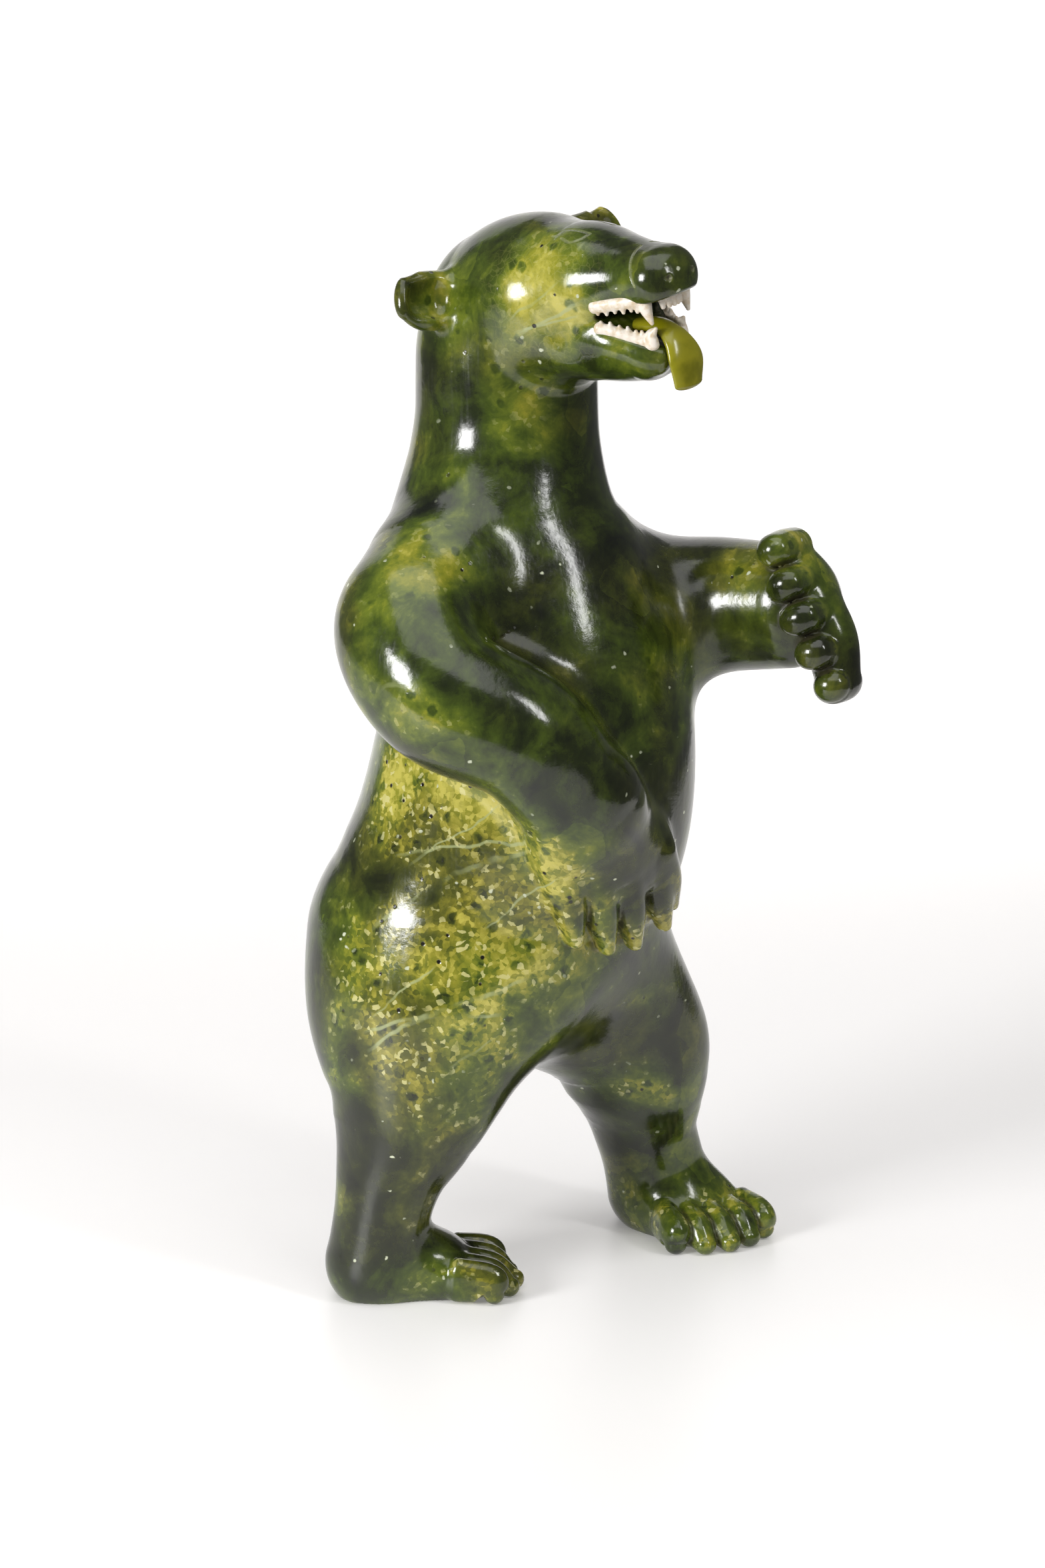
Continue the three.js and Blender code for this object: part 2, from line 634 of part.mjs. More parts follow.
const group = new THREE.Group();
let bear = solid(modelled(bearField, BEAR_BARS, BODY_CELL, BODY_TRIANGLES));
const INLAYS = [
  ...Object.entries(BONE).map(([name, bars]) => [name, bars, bone]),
  ['tongue', tongue, tongueStone],
];
for (const [name, bars, material] of INLAYS) {
  const shape = carving(bars, []);
  const grown = (x, y, z) => shape(x, y, z) - SOCKET_GAP;
  bear = bear.subtract(solid(modelled(grown, bars, INLAY_CELL, INLAY_TRIANGLES)));
  group.add(meshOf(name, modelled(shape, bars, INLAY_CELL, INLAY_TRIANGLES), material));
}
group.add(meshOf('bear', facesOf(bear), serpentine));
group.position.set(-MIDDLE[0], -MIDDLE[1], 0);
export default group;
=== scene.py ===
# %% [markdown]
# # A standing bear in polished serpentine
#
# The object is a carving about 380 mm tall: one block of green serpentine, which carvers call
# soapstone, with bone teeth and a tongue of paler stone let into its open jaws. A carver starts
# from a sawn block, rounds each limb with a rasp, cuts the grooves between the digits with a
# riffler, and then sands and waxes the stone until it shines like glass.
#
# This lesson follows the same order. The shape is first one function that says how far any
# point is from the stone, then a fine mesh of the places where that distance is zero. The
# finishes come next, and the studio last.

# %% The frame
import json
from concurrent.futures import ThreadPoolExecutor

import bmesh
import bpy
import numpy as np
from mathutils import Matrix, Vector

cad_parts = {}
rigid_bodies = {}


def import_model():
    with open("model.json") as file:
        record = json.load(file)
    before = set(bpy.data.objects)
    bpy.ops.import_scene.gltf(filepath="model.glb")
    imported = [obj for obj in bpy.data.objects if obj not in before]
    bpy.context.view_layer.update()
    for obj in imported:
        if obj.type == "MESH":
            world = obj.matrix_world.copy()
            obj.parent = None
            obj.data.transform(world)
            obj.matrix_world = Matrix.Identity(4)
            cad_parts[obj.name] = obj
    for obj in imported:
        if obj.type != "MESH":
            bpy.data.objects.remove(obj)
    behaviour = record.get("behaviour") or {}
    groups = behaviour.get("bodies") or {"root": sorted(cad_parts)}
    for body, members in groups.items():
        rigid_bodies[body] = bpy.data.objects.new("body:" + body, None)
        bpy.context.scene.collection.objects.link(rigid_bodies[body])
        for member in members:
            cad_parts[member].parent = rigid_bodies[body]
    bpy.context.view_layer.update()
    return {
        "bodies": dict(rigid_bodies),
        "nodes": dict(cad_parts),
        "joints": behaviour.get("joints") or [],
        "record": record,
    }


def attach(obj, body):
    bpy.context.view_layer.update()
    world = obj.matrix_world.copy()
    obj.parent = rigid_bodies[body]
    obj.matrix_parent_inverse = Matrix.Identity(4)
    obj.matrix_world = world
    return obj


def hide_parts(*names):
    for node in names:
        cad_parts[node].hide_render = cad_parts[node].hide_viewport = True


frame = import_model()

# %% [markdown]
# ## The stone as a distance
#
# A limb is a round bar that swells and thins along a curve. Blender could make it with a curve
# and a bevel, but bars that are only pushed into each other keep a hard line where they meet,
# and a carver rubs such lines away. So each bar is a distance function, and two bars are joined
# by a smooth minimum, which adds a fillet of a chosen size. Lengths here are in millimetres.

# %% Curves and bars
STEPS = 4


def cubics(points):
    """Centripetal Catmull-Rom curve through the points, as the four coefficients of the cubic
    between each two of them. The knots lie apart by the square root of the distance between
    points, and each cubic has both its points and both their tangents."""
    points = np.asarray(points, float)
    p = np.array([2 * points[0] - points[1], *points, 2 * points[-1] - points[-2]])
    knot = np.sqrt(np.linalg.norm(np.diff(p, axis=0), axis=1))[:, None]
    d0, d1, d2 = knot[:-2], knot[1:-1], knot[2:]
    p0, p1, p2, p3 = p[:-3], p[1:-2], p[2:-1], p[3:]
    m1 = ((p1 - p0) / d0 - (p2 - p0) / (d0 + d1) + (p2 - p1) / d1) * d1
    m2 = ((p2 - p1) / d1 - (p3 - p1) / (d1 + d2) + (p3 - p2) / d2) * d1
    return np.stack([p1, m1, 3 * (p2 - p1) - 2 * m1 - m2, 2 * (p1 - p2) + m1 + m2], 1)


def along_curve(curve, t, slopes=False):
    """Places on the curve, where t counts the stops, and if asked the first two slopes."""
    span = np.clip(t.astype(int), 0, len(curve) - 1)
    w = (t - span)[:, None]
    c0, c1, c2, c3 = (curve[span, k] for k in range(4))
    place = c0 + w * (c1 + w * (c2 + w * c3))
    if not slopes:
        return place
    return place, c1 + w * (2 * c2 + 3 * w * c3), 2 * c2 + 6 * w * c3


def bar(stops, side=(1, 0, 0), blend=6, frame=Matrix()):
    """A bar along the curve through its stops. Each stop is x, y, z, half width and half depth,
    and the half width lies along the side direction, turned square to the curve."""
    turn = np.array(frame.to_3x3())
    curve = cubics([turn @ np.array(s[:3], float) + frame.translation for s in stops])
    t = np.linspace(0, len(curve), len(curve) * STEPS + 1)
    place = along_curve(curve, t)
    radii = cubics([(s[3], s[4], 10 * i) for i, s in enumerate(stops)])
    reach = along_curve(radii, t)[:, :2].max()
    side = turn @ np.array(side, float)
    return {
        "curve": curve,
        "radii": radii,
        "t": t,
        "place": place,
        "side": side / np.linalg.norm(side),
        "low": place.min(0) - reach,
        "high": place.max(0) + reach,
        "blend": blend,
    }


print("a bar has", STEPS, "straight steps between two stops")

# %% Distances
CHUNK = 8000
NEWTON_ROUNDS = 2


def bar_distance(b, points):
    """Distance from the points to a bar, roughly. The nearest place on the curve is first
    sought on straight steps, and then bettered by Newton's method. The offset there, divided
    by the radii of the section, has a length k0 that is 1 on the surface, and k0 (k0 - 1)
    divided by the length k1 of its slope is close to the true distance."""
    a = b["place"][:-1]
    step = b["place"][1:] - a
    square = (step**2).sum(1)
    forward = points @ step.T - (a * step).sum(1)
    share = np.clip(forward / square, 0, 1)
    far = (a**2).sum(1) - 2 * points @ a.T + share * (share * square - 2 * forward)
    at = far.argmin(1)
    t = (at + share[np.arange(len(points)), at]) / STEPS
    for _ in range(NEWTON_ROUNDS):
        place, slope_1, slope_2 = along_curve(b["curve"], t, slopes=True)
        speed = (slope_1**2).sum(1)
        error = ((place - points) * slope_1).sum(1)
        bend = speed + ((place - points) * slope_2).sum(1)
        t = np.clip(t - error / np.maximum(bend, 0.3 * speed), 0, len(b["curve"]))
    place, tangent, _ = along_curve(b["curve"], t, slopes=True)
    tangent /= np.linalg.norm(tangent, axis=1, keepdims=True)
    u = b["side"] - (tangent @ b["side"])[:, None] * tangent
    u /= np.linalg.norm(u, axis=1, keepdims=True)
    v = np.cross(tangent, u)
    r = along_curve(b["radii"], t)[:, :2]
    offset = points - place
    x = (offset * u).sum(1)
    y = (offset * v).sum(1)
    z = np.sqrt(np.maximum(0, (offset**2).sum(1) - x**2 - y**2))
    shortest = r.min(1)
    k0 = np.sqrt((x / r[:, 0]) ** 2 + (y / r[:, 1]) ** 2 + (z / shortest) ** 2)
    k1 = np.sqrt((x / r[:, 0] ** 2) ** 2 + (y / r[:, 1] ** 2) ** 2 + (z / shortest**2) ** 2)
    return np.where(k1 < 1e-9, -shortest, k0 * (k0 - 1) / np.maximum(k1, 1e-9))


def joined(a, b, k):
    """Smooth minimum: the smaller distance, less a parabola of depth k/4 where both are close."""
    return np.minimum(a, b) - np.maximum(0, k - np.abs(a - b)) ** 2 / (4 * k)


def carving(bars, cuts, ground=True):
    """The whole stone as one function of points: the bars joined in order, then the cuts taken
    out in order, then everything below the ground sawn off. The points go through it in
    chunks, and a bar whose box is too far away to matter is passed over."""

    def gap(b, points):
        outside = np.maximum(b["low"] - points, points - b["high"])
        return np.linalg.norm(np.maximum(0, outside), axis=1)

    def part(points):
        d = np.full(len(points), 1e3)
        for b in bars:
            near = gap(b, points) < d + b["blend"]
            if near.any():
                d[near] = joined(d[near], bar_distance(b, points[near]), b["blend"])
        for c in cuts:
            near = gap(c, points) < c["blend"] - d
            if near.any():
                d[near] = -joined(-d[near], bar_distance(c, points[near]), c["blend"])
        return np.maximum(d, -points[:, 2]) if ground else d

    def field(points):
        parts = [points[i : i + CHUNK] for i in range(0, len(points), CHUNK)]
        with ThreadPoolExecutor(4) as pool:
            return np.concatenate(list(pool.map(part, parts)))

    return field


print("distances are worked out for", CHUNK, "points at a time")

# %% [markdown]
# ## The body and the legs
#
# These are the forms that a carver roughs out first. The torso is one bar from between the hips
# to the base of the skull, the hips are a second bar laid from side to side, and each leg is a
# bar from hip to ankle. A large fillet between them gives the soft, heavy look of the belly.

# %% Torso, legs and feet
torso = bar(
    [
        (4.5, 28, 142, 52, 53), (4.5, 26, 151, 55, 56), (4.5, 21, 172, 58, 57), (4.5, 18, 198, 56, 55),
        (3, 19, 225, 53, 51), (2, 22, 250, 46, 44), (0, 26, 272, 37, 37), (0, 27, 296, 32, 32),
        (-2, 26, 325, 31, 31),
    ]
)
hips = bar([(-9.5, 35.5, 120, 38, 49.5), (17, 34.5, 121, 37, 49)], side=(0, 0, 1), blend=14)
right_leg = bar(
    [
        (-24, 46, 124, 34, 38), (-33, 44, 98, 32.5, 38), (-40, 41, 73, 26.5, 31.5),
        (-43, 43, 59, 22, 26), (-46.5, 46, 44, 17, 20), (-48.5, 48, 30, 15.3, 17.5),
        (-50, 50, 14, 15.3, 17.5),
    ],
    blend=34,
)
left_leg = bar(
    [
        (20, 34, 112, 26.5, 30), (40.5, 15.5, 92, 29, 34.5), (51, 9.5, 76, 27.5, 32),
        (56, 8, 62, 25, 28), (60, 8, 50, 20.5, 23.5), (63, 8, 39, 17.5, 20), (67, 7, 27, 16.5, 19.5),
        (69, 5, 14, 17, 20),
    ],
    blend=26,
)
tail = bar([(4, 74, 116, 10, 8), (4, 90, 104, 6, 5)], blend=8)


def foot(x, y, turn, length, width):
    """A foot in its own frame, heel at +y and toes towards -y: a pad, and five toes that fan
    out by a tenth or so and end in blunt claws."""
    place = Matrix.Translation((x, y, 0)) @ Matrix.Rotation(np.radians(turn), 4, "Z")
    half = width / 2
    pad = bar(
        [
            (0, length * 0.29, 7, half * 0.82, 10), (0, -length * 0.03, 9.5, half * 0.9, 14),
            (0, -length * 0.27, 6, half, 8),
        ],
        blend=9,
        frame=place,
    )
    toes = [
        bar(
            [
                (i * half * 0.4, -length * 0.2, 8.5, half * 0.24, 8),
                (i * half * 0.448, -length * 0.37, 7, half * 0.26, 7),
                (i * half * 0.456, -length * (0.5 - 0.028 * i * i), 3.6, half * 0.2, 3.6),
            ],
            blend=1.2,
            frame=place,
        )
        for i in (-2, -1, 0, 1, 2)
    ]
    return [pad, *toes]


right_foot = foot(-38, 40, 35, 68, 34)
left_foot = foot(72.5, -4, -29, 65, 41)
print("legs and feet:", 2 + len(right_foot) + len(left_foot), "bars")

# %% [markdown]
# ## The arms and paws
#
# The right arm lies across the flank and its paw is spread on the belly, so the palm is two flat
# bars that follow the belly's curve and five pointed digits that grow out of them. The left arm
# reaches forward, and its paw is bent up with five blunt digits stacked one over another.

# %% Arms
shoulders = bar([(-4, 29, 280, 26, 26), (-30, 31, 256, 26, 25)], blend=16)
right_arm = bar(
    [
        (-40, 29, 250, 25, 26), (-58, 27, 240, 26, 27), (-66, 10, 222, 24, 25), (-53, -14, 207, 22, 23),
        (-43, -25, 190, 20, 17), (-34, -29, 178, 19, 12),
    ],
    side=(0.8, -0.55, 0.2),
    blend=12,
)
right_palm = [
    bar(
        [
            (-38, -26, 186, 16, 14), (-35, -25, 172, 17, 10), (-30, -25, 160, 16, 7),
            (-27, -24, 153, 15.5, 5.5),
        ],
        side=(0.85, -0.52, 0.1),
        blend=8,
    ),
    bar(
        [
            (-34, -29, 186, 14, 14), (-24, -31.5, 173, 14.5, 10), (-13, -34, 162, 15, 7),
            (-9, -33, 154, 15, 5.5),
        ],
        side=(0.97, -0.22, 0.1),
        blend=8,
    ),
]
PAW_DIGITS = [
    ((-38.5, -20.4, 162), (-28, -18, 134)),
    ((-29, -27, 160), (-17, -24, 130)),
    ((-19, -32, 160), (-6, -28, 130)),
    ((-7, -35, 162), (9.5, -30.5, 134)),
    ((-4, -36.5, 163), (13.5, -31, 141)),
]
right_digits = [
    bar(
        [
            (*root, 6.2, 7), (*(0.45 * np.array(root) + 0.55 * np.array(tip)), 5.9, 7), (*tip, 3, 5),
        ],
        side=(0.85, -0.5, 0),
        blend=1.5,
    )
    for root, tip in PAW_DIGITS
]
left_arm = bar(
    [(34, 24, 240, 26, 27), (48, -4, 237, 24, 24.5), (50, -30, 239, 22.5, 23.5), (48, -57, 241, 19, 21.5)],
    blend=20,
)
PAW_TILT = -24
left_paw_frame = Matrix.Translation((42, -69, 240)) @ Matrix.Rotation(np.radians(PAW_TILT), 4, "X")
left_palm = bar(
    [(2, -0.5, -23.5, 8, 8), (2, -3, -10, 9.5, 9.3), (2, -1.6, 7, 9.5, 8.4), (2, 0.5, 22.5, 8.5, 6.5)],
    blend=4,
    frame=left_paw_frame,
)
CURL = (5, 10, 12, 12, 10)
left_digits = [
    bar(
        [
            (5, 0.6 * abs(i) - 1, 12.4 * i - 0.6, 6.5, 8 - 0.5 * abs(i)),
            (-3, 0.6 * abs(i) - 1.8, 12.4 * i - 0.6, 6.5, 8 - 0.5 * abs(i)),
            (-CURL[i + 2], 0.6 * abs(i) - 2.4, 12.4 * i - 0.6, 5.8, 7.4 - 0.5 * abs(i)),
        ],
        side=(0, 0, 1),
        blend=1.2,
        frame=left_paw_frame,
    )
    for i in (-2, -1, 0, 1, 2)
]
print("arms and paws:", 5 + len(right_digits) + len(left_digits), "bars")

# %% [markdown]
# ## The head
#
# The head is drawn in a frame of its own, muzzle towards -y, and then turned to the bear's right
# and tipped. The skull, the muzzle, the nose and the jaw are bars, the mouth is a wedge cut out
# from the front, and each ear is a blade with a cup cut into it.

# %% Skull, jaws and ears
HEAD_TURN = np.radians([-2, -13, -14])
head_frame = (
    Matrix.Translation((-2, 25, 347))
    @ Matrix.Rotation(HEAD_TURN[2], 4, "Z")
    @ Matrix.Rotation(HEAD_TURN[0], 4, "X")
    @ Matrix.Rotation(HEAD_TURN[1], 4, "Y")
)


def in_head(stops, side=(1, 0, 0), blend=6):
    """A bar whose stops are given in the head's frame."""
    return bar(stops, side=side, blend=blend, frame=head_frame)


skull = in_head(
    [(0, 2, -3.5, 26.5, 26.5), (0, -12, 0.5, 28, 27.4), (0, -27, 2, 26.5, 25.7), (0, -42, 4.5, 20, 19.5)],
    blend=10,
)
muzzle = in_head([(0, -40, 7, 18, 16), (0, -62, 7.5, 14.5, 13.2), (0, -74, 7, 11.5, 10.2)], blend=8)
nose = in_head([(-5, -75.3, 8.3, 5.6, 6.6), (5, -75.3, 8.3, 5.6, 6.6)], side=(0, 1, 0), blend=8)
jaw = in_head(
    [(0, -22, -10, 24, 18), (0, -44, -15.5, 18, 12), (0, -57, -18.5, 13, 9), (0, -64, -19.5, 10.5, 7.5)],
    blend=7,
)
LOWER_LIP = [
    (12.5, -50, -10.5, 5, 6), (12, -57, -12, 4.6, 5.8), (9.5, -63, -14.2, 4.4, 5.4), (7, -69, -17, 4, 5),
    (5, -72.5, -18.5, 3.6, 4.4),
]
lips = [in_head([(way * x, *rest) for x, *rest in LOWER_LIP], blend=6) for way in (-1, 1)]
mouth = in_head(
    [
        (0, -53, -1.5, 12, 1.4), (0, -62, -3, 19, 3.8), (0, -70, -4, 20, 5.8), (0, -78, -5, 22, 7.5),
        (0, -98, -8, 28, 12),
    ],
    blend=1.5,
)


def ear(way, x, y, z, root):
    """One ear, on the side that way says: a blade from its root out to its tip at x, y, z, and
    the cup in it."""
    blade = in_head(
        [
            (way * 24, y, root, 9.5, 6), (way * (x - 7), y, z - 0.5, 10, 4.2),
            (way * x, y + 0.5, z + 2.5, 7, 3),
        ],
        side=(0, 0.2, 1),
        blend=4,
    )
    cup = in_head(
        [(way * (x - 12), y - 4.6, z - 0.5, 7, 5), (way * (x - 3.5), y - 3.6, z + 1.5, 6.2, 4)],
        side=(0, 0, 1),
        blend=2,
    )
    return blade, cup


ears = [ear(-1, 44, 2, 9, 6), ear(1, 45, -8, 10.5, 11)]
stone_bars = [
    torso, hips, shoulders, right_leg, left_leg, tail, *right_foot, *left_foot, skull, jaw, *lips, muzzle,
    nose, *(blade for blade, cup in ears), left_arm, left_palm, *left_digits, right_arm, *right_palm,
    *right_digits,
]
stone_cuts = [mouth, *(cup for blade, cup in ears)]
rough_stone = carving(stone_bars, stone_cuts)
print("the stone has", len(stone_bars), "bars and", len(stone_cuts), "cuts")

# %% [markdown]
# ## From distance to mesh
#
# A grid of points fills the space round the stone. Only the points close to the surface need
# the full sum, so a coarse grid finds them first. The mesh is a surface net: one vertex in each
# cube that the surface passes through, at the middle of the places where it crosses the cube's
# edges, and one four-sided face round each edge that it crosses.

# %% Grid and surface net
COARSE = 4
# How far from the surface, in coarse cells, the exact values reach.
BAND = 0.8


def stretched(values, count, axis):
    """Straight-line interpolation of a grid along one axis, from every COARSE-th point to all."""
    at = np.arange(count) / COARSE
    low = np.minimum(at.astype(int), values.shape[axis] - 2)
    shape = [1, 1, 1]
    shape[axis] = count
    w = (at - low).reshape(shape).astype(np.float32)
    return values.take(low, axis) * (1 - w) + values.take(low + 1, axis) * w


def grid_of(field, low, high, cell):
    """The field on a grid of points a cell apart: exact near the surface, and only of the right
    sign elsewhere."""
    size = [int(np.ceil((b - a) / cell / COARSE) + 1) * COARSE + 1 for a, b in zip(low, high)]
    origin = np.array(low) - cell / 2
    axes = [origin[i] + cell * COARSE * np.arange((size[i] - 1) // COARSE + 1) for i in range(3)]
    points = np.stack(np.meshgrid(*axes, indexing="ij"), -1).reshape(-1, 3)
    values = field(points).astype(np.float32).reshape([len(a) for a in axes])
    for axis in range(3):
        values = stretched(values, size[axis], axis)
    close = np.argwhere(np.abs(values) < COARSE * cell * BAND)
    values[tuple(close.T)] = field(origin + close * cell)
    return values, origin


def surface_net(values, origin, cell):
    """Vertices and four-sided faces of the surface where the grid's values change sign."""
    inside = values < 0
    corners = [(i, j, k) for i in (0, 1) for j in (0, 1) for k in (0, 1)]
    nx, ny, nz = np.array(values.shape) - 1
    count = sum(inside[i : nx + i, j : ny + j, k : nz + k].astype(np.int8) for i, j, k in corners)
    mixed = (count > 0) & (count < 8)
    cells = np.argwhere(mixed)
    index = np.full(mixed.shape, -1, np.int32)
    index[mixed] = np.arange(len(cells))
    total = np.zeros((len(cells), 3))
    hits = np.zeros((len(cells), 1))
    for corner in corners:
        for axis in range(3):
            if corner[axis]:
                continue
            step = np.eye(3, dtype=int)[axis]
            a = values[tuple((cells + corner).T)].astype(float)
            b = values[tuple((cells + corner + step).T)].astype(float)
            cut = ((a < 0) != (b < 0))[:, None]
            t = np.divide(a, a - b, out=np.zeros_like(a), where=a != b)[:, None]
            total += np.where(cut, corner + t * step, 0)
            hits += cut
    vertices = origin + (cells + total / hits) * cell
    faces = []
    for axis in range(3):
        u, v = (axis + 1) % 3, (axis + 2) % 3
        here = np.moveaxis(inside, axis, 0)[:-1]
        there = np.moveaxis(inside, axis, 0)[1:]
        edge = np.argwhere(np.moveaxis(here != there, 0, axis))
        edge = edge[(edge[:, u] > 0) & (edge[:, v] > 0)]
        out = inside[tuple(edge.T)]
        ring = []
        for du, dv in ((-1, -1), (0, -1), (0, 0), (-1, 0)):
            q = edge.copy()
            q[:, u] += du
            q[:, v] += dv
            ring.append(index[tuple(q.T)])
        ring = np.stack(ring, 1)
        faces.append(np.where(out[:, None], ring, ring[:, ::-1]))
    return vertices, np.concatenate(faces)


print("the coarse grid takes every", COARSE, "th point")

# %% Settling the vertices
def slope(field, points, h):
    """Slope of the field by differences of twice h along each axis."""
    out = np.empty_like(points)
    for axis in range(3):
        step = np.zeros(3)
        step[axis] = h
        out[:, axis] = (field(points + step) - field(points - step)) / (2 * h)
    return out


def settled(field, vertices, faces, cell):
    """Evens the net out: each vertex goes half way to the middle of its neighbours, and then
    back to the surface along the slope of the field."""
    a = faces.ravel()
    b = np.roll(faces, -1, axis=1).ravel()
    ends = np.concatenate([a, b])
    others = np.concatenate([b, a])
    total = np.stack([np.bincount(ends, vertices[others, k], len(vertices)) for k in range(3)], 1)
    middle = total / np.bincount(ends, minlength=len(vertices))[:, None]
    return dropped(field, (vertices + middle) / 2, cell)


def dropped(field, points, cell):
    """The points moved onto the surface by one step down the slope, at most half a cell."""
    g = slope(field, points, cell / 4)
    d = field(points)
    step = np.clip(d / np.maximum((g**2).sum(1), 0.25), -cell / 2, cell / 2)
    return points - step[:, None] * g


def box_of(bars, margin=0.0):
    """Lowest and highest corner of some bars."""
    low = np.min([b["low"] for b in bars], axis=0) - margin
    high = np.max([b["high"] for b in bars], axis=0) + margin
    return low, high


STONE_CELL = 1.1
low, high = box_of(stone_bars)
low[2] = 0
values, origin = grid_of(rough_stone, low, high, STONE_CELL)
stone_vertices, stone_faces = surface_net(values, origin, STONE_CELL)
stone_vertices = settled(rough_stone, stone_vertices, stone_faces, STONE_CELL)
print("stone:", len(stone_vertices), "vertices and", len(stone_faces), "faces")

# %% [markdown]
# ## Eyes, nose and other cut lines
#
# After the polish the carver draws the eyes, the edge of the nose leather and the nostrils with
# a fine point. They are grooves under a millimetre wide, so they need a finer mesh than the
# rest, but only there. The faces near them are split, and the new vertices are dropped onto
# the stone with the grooves cut in it.

# %% Fine grooves
MIDDLE = (3, 5)


def on_stone(points):
    """Points in the head's frame, moved onto the stone by a few steps down the slope."""
    world = np.array([head_frame @ Vector(p) for p in points])
    for _ in range(4):
        world = dropped(rough_stone, world, 6)
    back = head_frame.inverted()
    return [tuple(back @ Vector(p)) for p in world]


def groove(points, width=0.5):
    """A thin cut that follows the surface through the points."""
    return in_head([(*p, width, width) for p in on_stone(points)], blend=0.3)


def eye(way):
    """The outline of one eye: a long almond, pointed towards the nose."""
    upper = [(way * 9.5, -39, 24), (way * 6, -40, 25), (way * 5.5, -45, 25), (way * 5.5, -51, 24)]
    lower = [(way * 5.5, -51, 24), (way * 9, -50, 23), (way * 11, -46.5, 22), (way * 10, -42, 23)]
    return [groove(upper, 0.35), groove(lower, 0.3)]


eyes = eye(-1) + eye(1)
nose_edge = [
    groove([(way * 2, -70, 17), (way * 6, -71, 16), (way * 10, -73, 12), (way * 11, -75, 8)], 0.3)
    for way in (-1, 1)
]
nostrils = [
    in_head([(way * 5, -82.6, 9, 1.6, 1.3), (way * 7.5, -81.2, 9.5, 1, 1)], blend=0.8)
    for way in (-1, 1)
]
fine_cuts = [*eyes, *nose_edge, *nostrils]
fine_stone = carving(stone_bars, [*stone_cuts, *fine_cuts])
print("fine cuts:", len(fine_cuts))

# %% The stone's mesh
def mesh_object(name, vertices, faces, node):
    """A mesh piece that stands for a CAD node and rides with it. Vertices come in millimetres
    in the drawing's own coordinates and go to metres round the middle of the bounding box."""
    mesh = bpy.data.meshes.new(name)
    placed = (np.asarray(vertices) - (*MIDDLE, 0)) / 1000
    mesh.from_pydata(placed.tolist(), [], np.asarray(faces).tolist())
    mesh.validate()
    mesh.shade_smooth()
    piece = bpy.data.objects.new(name, mesh)
    bpy.context.scene.collection.objects.link(piece)
    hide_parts(node)
    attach(piece, "root")
    return piece


def thinned(piece, triangles):
    """Takes away the vertices that matter least, until the piece has that many triangles."""
    made = len(piece.data.loop_triangles) or sum(len(p.vertices) - 2 for p in piece.data.polygons)
    if made <= triangles:
        return
    modifier = piece.modifiers.new("thin", "DECIMATE")
    modifier.ratio = triangles / made
    evaluated = piece.evaluated_get(bpy.context.evaluated_depsgraph_get())
    thin = bpy.data.meshes.new_from_object(evaluated)
    piece.modifiers.clear()
    piece.data = thin


def coordinates(mesh):
    """A mesh's vertices in the drawing's millimetres."""
    flat = np.empty(len(mesh.vertices) * 3)
    mesh.vertices.foreach_get("co", flat)
    return flat.reshape(-1, 3) * 1000 + (*MIDDLE, 0)


STONE_TRIANGLES = 170000
bear_stone = mesh_object("bear_stone", stone_vertices, stone_faces, "bear")
thinned(bear_stone, STONE_TRIANGLES)
print("bear_stone:", len(bear_stone.data.polygons), "faces")

# %% Splitting faces near the grooves
NEAR_GROOVE = 2.2
SPLIT_ROUNDS = 2
NORMAL_STEP = 0.35
for _ in range(SPLIT_ROUNDS):
    work = bmesh.new()
    work.from_mesh(bear_stone.data)
    ends = coordinates(bear_stone.data)
    close = np.zeros(len(ends), bool)
    for cut in fine_cuts:
        inside = ((ends > cut["low"] - NEAR_GROOVE) & (ends < cut["high"] + NEAR_GROOVE)).all(1)
        close[inside] |= bar_distance(cut, ends[inside]) < NEAR_GROOVE
    work.edges.ensure_lookup_table()
    chosen = [e for e in work.edges if close[e.verts[0].index] and close[e.verts[1].index]]
    bmesh.ops.subdivide_edges(work, edges=chosen, cuts=1, use_grid_fill=True)
    bmesh.ops.triangulate(work, faces=work.faces)
    work.to_mesh(bear_stone.data)
    work.free()
ends = dropped(fine_stone, coordinates(bear_stone.data), 1.0)
bear_stone.data.vertices.foreach_set("co", ((ends - (*MIDDLE, 0)) / 1000).ravel())
normals = slope(fine_stone, ends, NORMAL_STEP)
normals /= np.maximum(np.linalg.norm(normals, axis=1, keepdims=True), 1e-9)
bear_stone.data.shade_smooth()
bear_stone.data.normals_split_custom_set_from_vertices(normals.tolist())
print("bear_stone with grooves:", len(bear_stone.data.polygons), "faces")

# %% Hollow, thin and scored places
REACH, DEPTH = 2.0, 7.0


def keep(mesh, name, values):
    """Stores one number a vertex under a name that a material can read."""
    mesh.attributes.new(name, "FLOAT", "POINT").data.foreach_set("value", values.astype(np.float32))


# A point that stands REACH off flat stone is REACH from it, and less than that in a groove.
keep(bear_stone.data, "hollow", 1 - rough_stone(ends + normals * REACH) / REACH)
# A point sunk DEPTH into thick stone is DEPTH from the surface, and less than that at a rim.
keep(bear_stone.data, "thin", 1 + rough_stone(ends - normals * DEPTH) / DEPTH)
scored = np.zeros(len(ends))
for cut in fine_cuts:
    inside = ((ends > cut["low"] - NEAR_GROOVE) & (ends < cut["high"] + NEAR_GROOVE)).all(1)
    scored[inside] = np.maximum(scored[inside], 1 - bar_distance(cut, ends[inside]))
keep(bear_stone.data, "scored", scored)
print("attributes:", [a.name for a in bear_stone.data.attributes if a.data_type == "FLOAT"])

# %% [markdown]
# ## Teeth and tongue
#
# The teeth are sawn from bone, each row in one piece with a ridge that sits in a slot in the
# gum, small cusps filed along it and a canine at the front. The tongue is a slip of yellower
# stone that lies between the lower canines and bends over the chin.

# %% Inlays
CUSPS = 6


